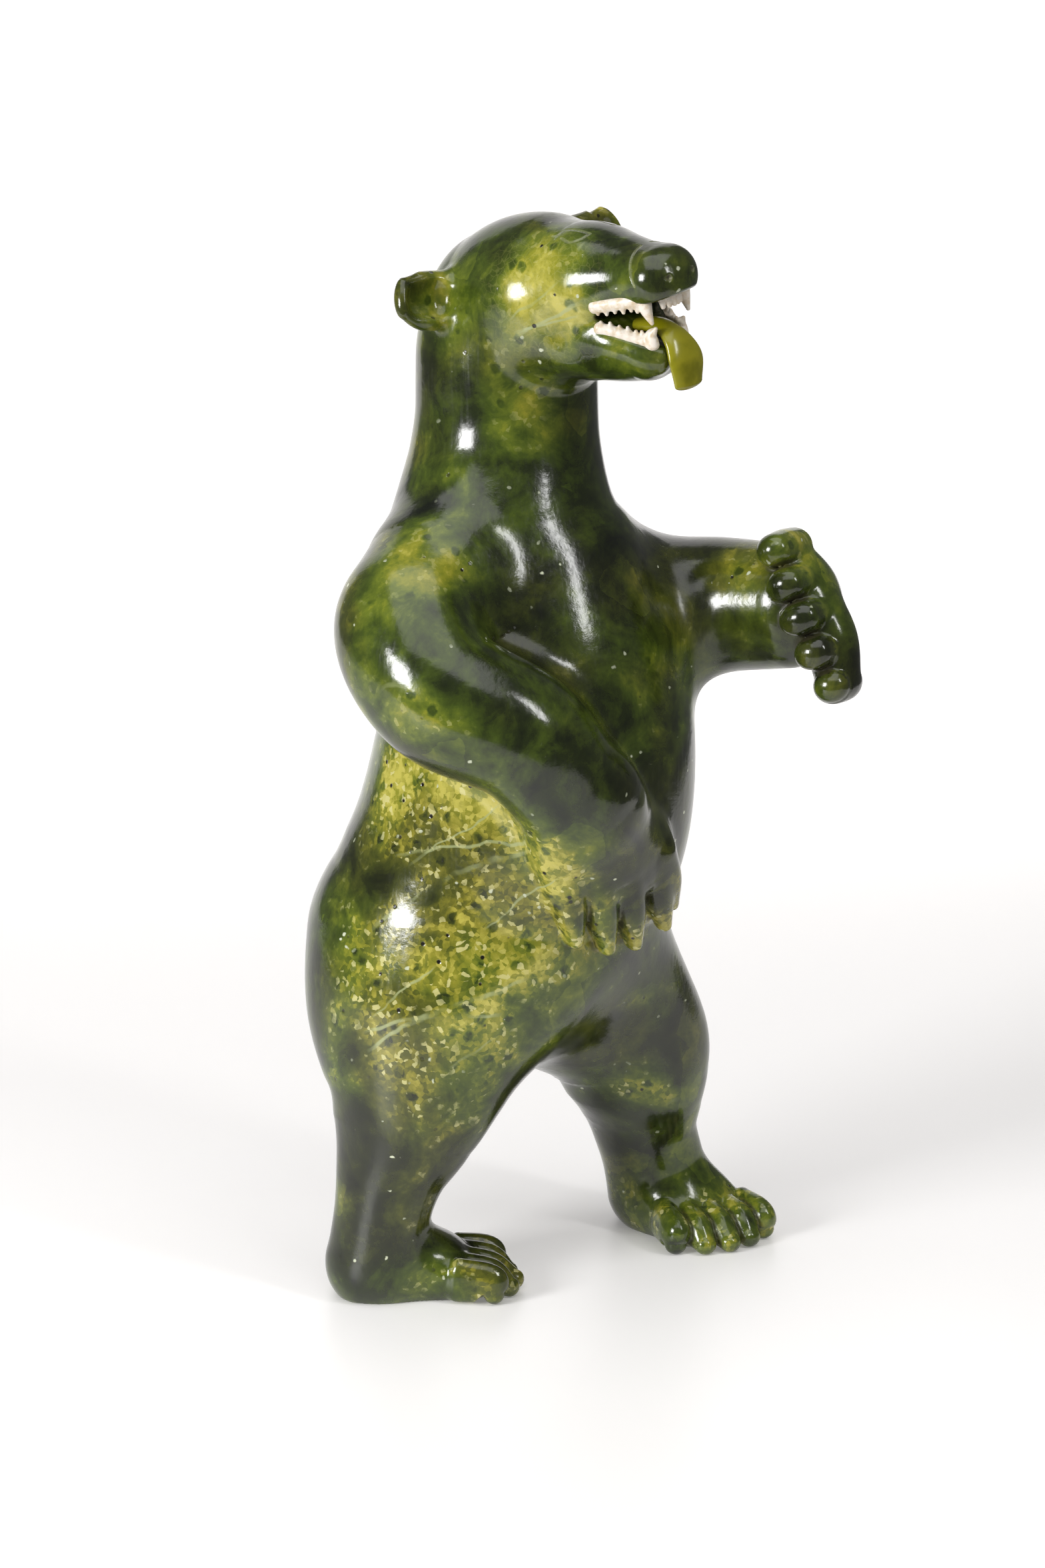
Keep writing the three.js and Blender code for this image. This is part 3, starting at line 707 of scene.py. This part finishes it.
def tooth_row(way, up, gum, canine_tip):
    """A row of teeth on one side: the ridge along the gum line, cusps that lengthen towards the
    front, and the canine."""
    side = (way * 0.85, -0.5, 0)
    line = [(way * x, y, z) for x, y, z in gum]
    ridge = in_head([(*p, 1.6, 2.1) for p in line], side=side, blend=0.5)
    at = along_curve(cubics(line), (np.arange(CUSPS) + 0.4) / (CUSPS + 1) * (len(line) - 1))
    length = [2.4 + 0.12 * i + 0.4 * (i % 2) for i in range(CUSPS)]
    cusps = [
        in_head([(x, y, z, 1.5, 1.9), (x, y, z + up * rise, 0.6, 0.6)], side, 0.5)
        for (x, y, z), rise in zip(at, length)
    ]
    x, y, z = line[-1]
    tip = (way * canine_tip[0], canine_tip[1], canine_tip[2], 0.7, 0.7)
    canine = in_head([(x, y, z, 2.2, 2.7), (x, y - 0.4, z + up * 3, 1.8, 2.2), tip], blend=0.6)
    return [ridge, *cusps, canine]


UPPER_GUM = [(15.5, -57, 1.6), (13.2, -64, 2), (11, -70.5, 2.4), (9, -74, 2)]
LOWER_GUM = [(14.5, -56.5, -5.8), (11.5, -63, -8.4), (8.8, -68.5, -11.2), (7, -72, -13)]
incisor_bar = in_head(
    [(-4.4, -76.6, 2.4, 1.3, 1.6), (0, -78, 2.4, 1.3, 1.6), (4.4, -76.6, 2.4, 1.3, 1.6)], side=(0, 1, 0)
)
incisors = [
    in_head([(2 * i, back - 78.2, 2, 1.2, 1.3), (2 * i, back - 78.6, -1.2, 0.9, 0.7)], blend=0.4)
    for i, back in ((i, 0.35 * i * i) for i in (-2, -1, 0, 1, 2))
]
bone_pieces = {
    "upper_teeth_right": tooth_row(-1, -1, UPPER_GUM, (8.6, -75.5, -5.3)),
    "upper_teeth_left": tooth_row(1, -1, UPPER_GUM, (8.6, -75.5, -5.3)),
    "upper_incisors": [incisor_bar, *incisors],
    "lower_teeth_right": tooth_row(-1, 1, LOWER_GUM, (6.6, -74.6, -7.8)),
    "lower_teeth_left": tooth_row(1, 1, LOWER_GUM, (6.6, -74.6, -7.8)),
}
tongue_bar = in_head(
    [
        (0, -57, -8.6, 4.4, 2), (0, -65, -8.2, 4.8, 2.3), (0, -71.5, -9, 4, 2.3), (0.4, -76, -13, 5.6, 2.3),
        (0.8, -78.3, -20, 7.5, 2.2), (0.4, -78, -28, 6.2, 1.9),
    ]
)
INLAY_CELL = 0.3


def inlay(name, bars, node):
    """A small piece worked out on a fine grid of its own."""
    field = carving(bars, [], ground=False)
    low, high = box_of(bars, 0.5)
    values, origin = grid_of(field, low, high, INLAY_CELL)
    vertices, faces = surface_net(values, origin, INLAY_CELL)
    vertices = settled(field, vertices, faces, INLAY_CELL)
    return mesh_object(name, vertices, faces, node)


teeth = [inlay(node + "_bone", bars, node) for node, bars in bone_pieces.items()]
tongue = inlay("tongue_stone", [tongue_bar], "tongue")
for piece in [*teeth, tongue]:
    print(piece.name, len(piece.data.polygons), "faces")

# %% [markdown]
# ## Finishes
#
# Each material starts from the real one. Colours are given as sRGB hex values and turned to
# linear light by one function, and one small function adds a node with its settings and links.

# %% Helpers for nodes
def linear(hex_colour):
    """sRGB hex to linear light: below 0.04045 a straight line, above it a power of 2.4."""
    c = np.array([int(hex_colour[i : i + 2], 16) for i in (1, 3, 5)]) / 255
    c = np.where(c <= 0.04045, c / 12.92, ((c + 0.055) / 1.055) ** 2.4)
    return (*(float(x) for x in c), 1.0)


def add(kind, inputs, out=0, **settings):
    """Adds a node to the material in hand and returns one of its outputs. Each input is a
    plain value, or another node's output to link from. Inputs go by name or by number: those
    of Map Range are 0 the value, 1 and 2 the range it comes from, 3 and 4 the range it goes
    to, and those of a colour Mix are 0 the share, 6 and 7 the colours."""
    node = tree.nodes.new("ShaderNode" + kind)
    for key, value in settings.items():
        setattr(node, key, value)
    for key, value in inputs.items():
        if isinstance(value, bpy.types.NodeSocket):
            tree.links.new(value, node.inputs[key])
        else:
            node.inputs[key].default_value = value
    return node.outputs[out]


def new_material(name):
    """An empty material and its node tree."""
    material = bpy.data.materials.new(name)
    material.use_nodes = True
    material.node_tree.nodes.clear()
    return material, material.node_tree


def finish(colour, **inputs):
    """Wires a colour and other inputs to a Principled shader and the output."""
    shader = add("BsdfPrincipled", {"Base Color": colour, **inputs})
    output = tree.nodes.new("ShaderNodeOutputMaterial")
    tree.links.new(shader, output.inputs[0])


SOFT = {"interpolation_type": "SMOOTHSTEP"}
COLOUR = {"data_type": "RGBA", "out": 2}
print("dark green serpentine in linear light:", linear("#2a3011")[:3])

# %% [markdown]
# ### Polished serpentine
#
# The stone is bottle green with olive and mustard clouds, because iron-rich and iron-poor
# layers fold through it. So the colour is one number, the tone, from black-green to mustard:
# ovals say where this block is paler, noise tears their edges and mottles the rest, and a
# colour ramp turns the sum into stone. Lengths in the patterns are real ones: clouds of 30 to
# 60 mm, mottling of 9 mm, grains of 1 to 2 mm, flecks and pits under 2 mm. A polished stone
# has an index of refraction near 1.56, so it shows its depth from the front and mirrors the
# room at its edges.

# %% Where the pale clouds lie
# Middle and radii in millimetres, tilt about the x axis in degrees, and how pale the cloud is.
CLOUDS = [
    ((-34, -14, 354), (13, 15, 25), 8, 0.75),
    ((-28, 0, 322), (14, 12, 16), 0, 0.5),
    ((-24, 2, 303), (20, 10, 8), 0, 0.45),
    ((-50, -4, 150), (30, 32, 36), 0, 0.8),
    ((-62, 16, 116), (30, 24, 40), 0, 0.85),
    ((-58, 28, 182), (30, 26, 22), 0, 0.75),
    ((-60, 10, 76), (16, 15, 20), 0, 0.5),
    ((-68, 16, 266), (26, 20, 8), 20, 0.5),
    ((-90, 6, 222), (14, 20, 9), 20, 0.55),
    ((-18, -30, 134), (40, 18, 9), 0, 0.55),
    ((32, -52, 254), (22, 13, 12), 0, 0.55),
    ((32, -72, 262), (12, 12, 8), 0, 0.5),
    ((-8, -40, 222), (12, 12, 10), 0, 0.35),
    ((36, -14, 62), (20, 12, 6), 25, 0.55),
    ((66, -20, 14), (12, 12, 6), 0, 0.5),
]
stone, tree = new_material("polished_serpentine")
here = add("TexCoord", {}, out="Object")
cloud = 0.0
for (x, y, z), (rx, ry, rz), tilt, pale in CLOUDS:
    centred = add(
        "Mapping",
        {
            "Vector": here,
            "Location": (x / 1000, y / 1000, z / 1000),
            "Rotation": (np.radians(tilt), 0, 0),
            "Scale": (rx / 1000, ry / 1000, rz / 1000),
        },
        vector_type="TEXTURE",
    )
    away = add("VectorMath", {0: centred}, out="Value", operation="LENGTH")
    rise = add("MapRange", {0: away, 1: 1.5, 2: 0.6, 4: pale}, **SOFT)
    cloud = add("Math", {0: cloud, 1: rise}, operation="MAXIMUM")
print("clouds:", len(CLOUDS))

# %% [markdown]
# The tone adds up what is known of each place: the ovals, noise that tears their edges, finer
# noise for the mottling, and a painted glow where the stone is thin, which makes it paler in
# place of the light that shines through ears and fingertips.

# %% Tone
# The noise has its middle at a half, so the sum is brought down to leave most stone dark.
DARKER = -0.18
torn = add(
    "TexNoise",
    {"Vector": here, "Scale": 1000 / 30, "Detail": 8.0, "Roughness": 0.6, "Distortion": 0.7},
)
mottle = add(
    "TexNoise",
    {"Vector": here, "Scale": 1000 / 9, "Detail": 6.0, "Roughness": 0.65, "Distortion": 0.4},
)
thin = add("Attribute", {}, out="Fac", attribute_name="thin")
tone = add("Math", {0: torn, 1: 1.5, 2: -0.62}, operation="MULTIPLY_ADD")
tone = add("Math", {0: cloud, 1: 0.52, 2: tone}, operation="MULTIPLY_ADD")
tone = add("Math", {0: mottle, 1: 0.7, 2: tone}, operation="MULTIPLY_ADD")
# Painted glow: where the stone is thin it is made paler, in place of light shining through it.
rim = add("MapRange", {0: thin, 1: 0.2, 2: 0.65, 4: 0.2})
tone = add("Math", {0: tone, 1: rim}, operation="ADD")
tone = add("Math", {0: tone, 1: DARKER}, operation="ADD")
yellow = add("MapRange", {0: tone, 1: 0.42, 2: 0.68}, **SOFT)
print("tone: from 0 for black-green to 1 for mustard")

# %% [markdown]
# The pale stone of the belly is granular, like damp sugar. Each cell of a Voronoi pattern gets a
# tone of its own, which makes grains with straight edges, as crystals have. Larger cells of the
# same pattern are the spots of dark stone and the chips of lighter stone.

# %% Grains, spots and chips
wavy = add("TexNoise", {"Vector": here, "Scale": 1000 / 5, "Detail": 4.0}, out="Color")
bent = add("VectorMath", {0: wavy, 1: (0.004, 0.004, 0.004), 2: here}, operation="MULTIPLY_ADD")
grains = add("TexVoronoi", {"Vector": bent, "Scale": 1000 / 1.7}, out="Color")
lot = add("SeparateColor", {0: grains})
height = add("SeparateXYZ", {0: here}, out="Z")
belly = add("MapRange", {0: height, 1: 0.23, 2: 0.18, 3: 0.25}, **SOFT)
belly = add("Math", {0: belly, 1: yellow}, operation="MULTIPLY")
coarse = add("Math", {0: belly, 1: 0.34}, operation="MULTIPLY")
grainy = add("Math", {0: lot, 1: -0.5}, operation="ADD")
tone = add("Math", {0: grainy, 1: coarse, 2: tone}, operation="MULTIPLY_ADD")
spots = add("TexVoronoi", {"Vector": bent, "Scale": 1000 / 8})
spot = add("MapRange", {0: spots, 1: 0.3, 2: 0.16, 4: 0.3}, **SOFT)
spot = add("Math", {0: spot, 1: yellow}, operation="MULTIPLY")
tone = add("Math", {0: tone, 1: spot}, operation="SUBTRACT")
chips = add("TexVoronoi", {"Vector": bent, "Scale": 1000 / 17}, out="Color")
chip = add("MapRange", {0: add("SeparateColor", {0: chips}), 1: 0.86, 2: 0.88, 4: 0.13})
tone = add("Math", {0: tone, 1: chip}, operation="ADD")
print("grains of 1.7 mm, spots 8 mm apart, chips of 17 mm")

# %% [markdown]
# The colour ramp is where the tone becomes stone. There are two, a browner and a fresher one,
# and slow noise changes from one to the other through the block.

# %% Tone to colour
TONES = [0.0, 0.22, 0.42, 0.6, 0.78, 1.0]
BROWNER = ["#10130a", "#232710", "#3b4016", "#5a5b1e", "#7f7a28", "#b3a94a"]
FRESHER = ["#10150a", "#252e10", "#3f4d17", "#606c20", "#88882a", "#bbb252"]


def ramp(value, colours):
    """A colour ramp over the tones."""
    made = add("ValToRGB", {0: value})
    band = made.node.color_ramp
    band.elements[1].position = TONES[1]
    for at in TONES[2:]:
        band.elements.new(at)
    for element, colour in zip(band.elements, colours):
        element.color = linear(colour)
    return made


drift = add("TexNoise", {"Vector": here, "Scale": 1000 / 60, "Detail": 3.0})
fresh = add("MapRange", {0: drift, 1: 0.42, 2: 0.58}, **SOFT)
body = add("Mix", {0: fresh, 6: ramp(tone, BROWNER), 7: ramp(tone, FRESHER)}, **COLOUR)
print("ramps of", len(TONES), "tones")

# %% [markdown]
# Veins are old cracks that filled with paler mineral. A crack is a flat sheet in the block, so
# a family of veins is a stack of sheets with one normal, bent a little by noise, and what shows
# is where the surface cuts them. The cheek has a net of hair cracks instead.

# %% Crackle and veins
cheek = add("VectorMath", {0: here, 1: (-0.034, -0.014, 0.35)}, out="Value", operation="DISTANCE")
near_cheek = add("MapRange", {0: cheek, 1: 0.03, 2: 0.012}, **SOFT)
net = add("TexVoronoi", {"Vector": bent, "Scale": 1000 / 2.8}, feature="DISTANCE_TO_EDGE")
threads = add("MapRange", {0: net, 1: 0.06, 2: 0.01, 4: 0.2}, **SOFT)
threads = add("Math", {0: threads, 1: near_cheek}, operation="MULTIPLY")
body = add("Mix", {0: threads, 6: body, 7: linear("#a9a862")}, **COLOUR)

# Normal of the sheets, distance between them in millimetres, half width of a vein.
VEINS = [
    ((-0.09, 0.48, 0.87), 38, 1.1), ((-0.20, 0.61, 0.77), 31, 0.6), ((0.07, 0.27, 0.96), 55, 0.9),
]
wander = add("TexNoise", {"Vector": here, "Scale": 1000 / 30, "Detail": 3.0, "Roughness": 0.5})
patchy = add("TexNoise", {"Vector": here, "Scale": 1000 / 26, "Detail": 3.0})
shown = add("MapRange", {0: patchy, 1: 0.44, 2: 0.56}, **SOFT)
palest = add("MapRange", {0: cloud, 1: 0.45, 2: 0.7})
shown = add("Math", {0: shown, 1: palest}, operation="MULTIPLY")
for normal, apart, half in VEINS:
    n = Vector(normal).normalized()
    sheets = tuple(n * 1000 / apart)
    level = add("VectorMath", {0: here, 1: sheets}, out="Value", operation="DOT_PRODUCT")
    level = add("Math", {0: wander, 1: 16 / apart, 2: level}, operation="MULTIPLY_ADD")
    level = add("Math", {0: level, 1: 0.5}, operation="PINGPONG")
    line = add("MapRange", {0: level, 1: half / apart, 2: 0.3 * half / apart, 4: 0.7}, **SOFT)
    line = add("Math", {0: line, 1: shown}, operation="MULTIPLY")
    body = add("Mix", {0: line, 6: body, 7: linear("#a3ab78")}, **COLOUR)
print("families of veins:", len(VEINS))

# %% [markdown]
# Small things tell the eye how large the carving is: white flecks of a millimetre, cream grains
# and dark pits where a grain fell out when the stone was ground.

# %% Flecks and pits
flecks = add("TexVoronoi", {"Vector": bent, "Scale": 1000 / 7})
sparse = add("TexNoise", {"Vector": here, "Scale": 1000 / 22, "Detail": 3.0})
fleck = add("MapRange", {0: flecks, 1: 0.12, 2: 0.07}, **SOFT)
few = add("MapRange", {0: sparse, 1: 0.5, 2: 0.6})
fleck = add("Math", {0: fleck, 1: few}, operation="MULTIPLY")
body = add("Mix", {0: fleck, 6: body, 7: linear("#c4c9ae")}, **COLOUR)
cream = add("MapRange", {0: lot, 1: 0.9, 2: 0.95, 4: 0.55})
cream = add("Math", {0: cream, 1: belly}, operation="MULTIPLY")
body = add("Mix", {0: cream, 6: body, 7: linear("#d0cc96")}, **COLOUR)
holes = add("TexVoronoi", {"Vector": here, "Scale": 1000 / 7.5})
pit = add("MapRange", {0: holes, 1: 0.13, 2: 0.07}, **SOFT)
pit = add("Math", {0: pit, 1: yellow}, operation="MULTIPLY")
body = add("Mix", {0: pit, 6: body, 7: linear("#17150c")}, **COLOUR)
print("flecks 7 mm apart, pits 7.5 mm apart")

# %% [markdown]
# Cloth and wax reach the open surface better than the grooves, so there the stone is duller,
# and the grooves are also darkened towards brown as painted shade. Fine cut lines are chalky.
# Faint rub marks run one way, and the polish is not quite flat.

# %% Grooves and polish
hollow = add("Attribute", {}, out="Fac", attribute_name="hollow")
scored = add("Attribute", {}, out="Fac", attribute_name="scored")
# Painted shade: the deeper the groove, the more its stone is darkened towards brown.
painted_groove_shade = add("MapRange", {0: hollow, 1: 0.25, 2: 0.7, 4: 0.6}, **SOFT)
body = add("Mix", {0: painted_groove_shade, 6: body, 7: linear("#3a3420")}, **COLOUR)
chalk = add("MapRange", {0: scored, 1: 0.5, 2: 1.0, 4: 0.3}, **SOFT)
body = add("Mix", {0: chalk, 6: body, 7: linear("#9da07c")}, **COLOUR)
lie = add("Mapping", {"Vector": here, "Rotation": (0.5, 0.9, 0.3), "Scale": (1, 1, 0.03)})
rub = add("TexNoise", {"Vector": lie, "Scale": 1000 / 1.2, "Detail": 2.0})
rough = add("MapRange", {0: rub, 1: 0.5, 2: 0.75, 3: 0.15, 4: 0.24})
dull = add("MapRange", {0: hollow, 1: 0.2, 2: 0.7, 4: 0.35})
rough = add("Math", {0: rough, 1: dull}, operation="ADD")
uneven = add("TexNoise", {"Vector": here, "Scale": 1000 / 5, "Detail": 4.0, "Roughness": 0.6})
relief = add("Math", {0: pit, 1: -1.5, 2: uneven}, operation="MULTIPLY_ADD")
bump = add("Bump", {"Height": relief, "Strength": 0.35, "Distance": 0.0003})
finish(body, Roughness=rough, IOR=1.56, Normal=bump)
bear_stone.data.materials.append(stone)
print(stone.name, "has", len(tree.nodes), "nodes")

# %% [markdown]
# ### Bone and tongue stone
#
# Bone takes a satin polish, creamy white with warmer stains near the gum. The tongue is a clear
# yellow-green serpentine, more waxy than the body.

# %% Bone and tongue stone
bone, tree = new_material("polished_bone")
here = add("TexCoord", {}, out="Object")
stain = add("TexNoise", {"Vector": here, "Scale": 1000 / 3, "Detail": 4.0, "Roughness": 0.6})
stained = add("MapRange", {0: stain, 1: 0.4, 2: 0.68}, **SOFT)
creamy = add("Mix", {0: stained, 6: linear("#f2e9dc"), 7: linear("#d8c4a4")}, **COLOUR)
finish(creamy, Roughness=0.32, IOR=1.54)
for piece in teeth:
    piece.data.materials.append(bone)

waxy, tree = new_material("waxed_yellow_serpentine")
here = add("TexCoord", {}, out="Object")
swirl = add("TexNoise", {"Vector": here, "Scale": 1000 / 9, "Detail": 3.0})
swirled = add("MapRange", {0: swirl, 1: 0.35, 2: 0.65}, **SOFT)
amber = add("Mix", {0: swirled, 6: linear("#74720a"), 7: linear("#95901c")}, **COLOUR)
finish(amber, Roughness=0.2, IOR=1.56)
tongue.data.materials.append(waxy)
print("materials:", [m.name for m in bpy.data.materials])

# %% [markdown]
# ## The studio
#
# The carving stands on a white sheet that curves up behind it. One soft light stands low on the
# left, a narrow one at the front right makes the long highlights on the chest, and one above
# fills the shadows. The room in front is dark, so the polish stays deep, and the sheet is lit
# through from behind the carving, so it burns out to white.

# %% Floor and backdrop
SWEEP_FRONT, SWEEP_START, SWEEP_RADIUS, SWEEP_TOP = -0.42, 1.3, 0.7, 2.4
SWEEP_LEFT, SWEEP_RIGHT = 1.6, 0.6
CAMERA_TURN = -57


def sweep():
    """A sheet flat on the ground, then a quarter circle, then upright: a profile of distance
    and height carried sideways, turned to face the camera."""
    arc = np.linspace(0, np.pi / 2, 24)
    curved = SWEEP_START + SWEEP_RADIUS * np.sin(arc)
    away = np.concatenate([[SWEEP_FRONT], curved, curved[-1:]])
    rise = np.concatenate([[0.0], SWEEP_RADIUS * (1 - np.cos(arc)), [SWEEP_TOP]])
    side = np.array([-SWEEP_LEFT, SWEEP_RIGHT])
    a = np.radians(CAMERA_TURN)
    back = np.array([-np.sin(a), np.cos(a)])
    across = np.array([np.cos(a), np.sin(a)])
    plan = away[:, None, None] * back + side[None, :, None] * across
    points = np.dstack([plan, np.repeat(rise[:, None], 2, 1)]).reshape(-1, 3)
    n = np.arange(len(away) - 1)[:, None] * 2
    return points, n + np.array([0, 1, 3, 2])


points, faces = sweep()
mesh = bpy.data.meshes.new("sweep")
mesh.from_pydata(points.tolist(), [], faces.tolist())
mesh.shade_smooth()
floor = bpy.data.objects.new("sweep", mesh)
bpy.context.scene.collection.objects.link(floor)
paper, tree = new_material("white_sheet")
here = add("TexCoord", {}, out="Object")
turn = np.radians(CAMERA_TURN)
away = (-np.sin(turn), np.cos(turn), 0)
behind = add("VectorMath", {0: here, 1: away}, out="Value", operation="DOT_PRODUCT")
glow = add("MapRange", {0: behind, 1: 0.2, 2: 1.2, 3: 0.2, 4: 0.7}, **SOFT)
white = linear("#f4f2f1")
finish(white, **{"Roughness": 0.4, "Emission Color": white, "Emission Strength": glow})
floor.data.materials.append(paper)
print("sweep:", len(points), "points")

# %% Lights
MIDDLE_OF_BEAR = Vector((0, 0, 0.19))


def direction(turn, rise):
    """Towards a place seen from the bear: turn in degrees from its front, rise above level."""
    a, e = np.radians(turn), np.radians(rise)
    return Vector((np.sin(a) * np.cos(e), -np.cos(a) * np.cos(e), np.sin(e)))


def soft_light(name, turn, rise, distance, size, watts):
    """A rectangular light that faces the middle of the bear from a distance in metres."""
    towards = direction(turn, rise)
    data = bpy.data.lights.new(name, "AREA")
    data.shape = "RECTANGLE"
    data.size, data.size_y = size
    data.energy = watts
    lamp = bpy.data.objects.new(name, data)
    bpy.context.scene.collection.objects.link(lamp)
    lamp.location = MIDDLE_OF_BEAR + towards * distance
    lamp.rotation_mode = "QUATERNION"
    lamp.rotation_quaternion = towards.to_track_quat("Z", "Y")


soft_light("left_box", -106, 14, 1.3, (0.4, 0.4), 14)
soft_light("right_strip", -6, 35, 1.4, (0.16, 0.5), 4)
soft_light("top_box", -60, 70, 1.5, (1.6, 1.6), 14)
ROOM_GREY = 0.13
world = bpy.data.worlds.new("studio")
bpy.context.scene.world = world
world.use_nodes = True
world.node_tree.nodes["Background"].inputs[0].default_value = linear("#ffffff")
world.node_tree.nodes["Background"].inputs[1].default_value = ROOM_GREY
bpy.context.scene.view_settings.view_transform = "Standard"
print("lights:", len(bpy.data.lights))

# %% [markdown]
# ## The camera
#
# The picture was taken from the bear's front right with a long lens, a little above the middle.
# The long side of the frame is upright.

# %% Camera
LENS, LONG_SIDE, DISTANCE, RISE = 82.0, 36.0, 1.231, 12.0
FRAME_PIXELS = (1568, 2352)
AIM, AIM_PIXEL = Vector((-0.003, -0.005, 0.190)), (860, 1135)
back = direction(CAMERA_TURN, RISE)
right = direction(CAMERA_TURN + 90, 0)
up = back.cross(right)
metres = DISTANCE * LONG_SIDE / LENS / FRAME_PIXELS[1]
aside = (AIM_PIXEL[0] - FRAME_PIXELS[0] / 2) * metres
below = (AIM_PIXEL[1] - FRAME_PIXELS[1] / 2) * metres
lens = bpy.data.cameras.new("photo_camera")
lens.lens, lens.sensor_width = LENS, LONG_SIDE
camera = bpy.data.objects.new("photo_camera", lens)
bpy.context.scene.collection.objects.link(camera)
camera.location = AIM + back * DISTANCE - right * aside + up * below
camera.rotation_mode = "QUATERNION"
camera.rotation_quaternion = back.to_track_quat("Z", "Y")
bpy.context.scene.camera = camera
print("camera at", [round(x, 3) for x in camera.location])
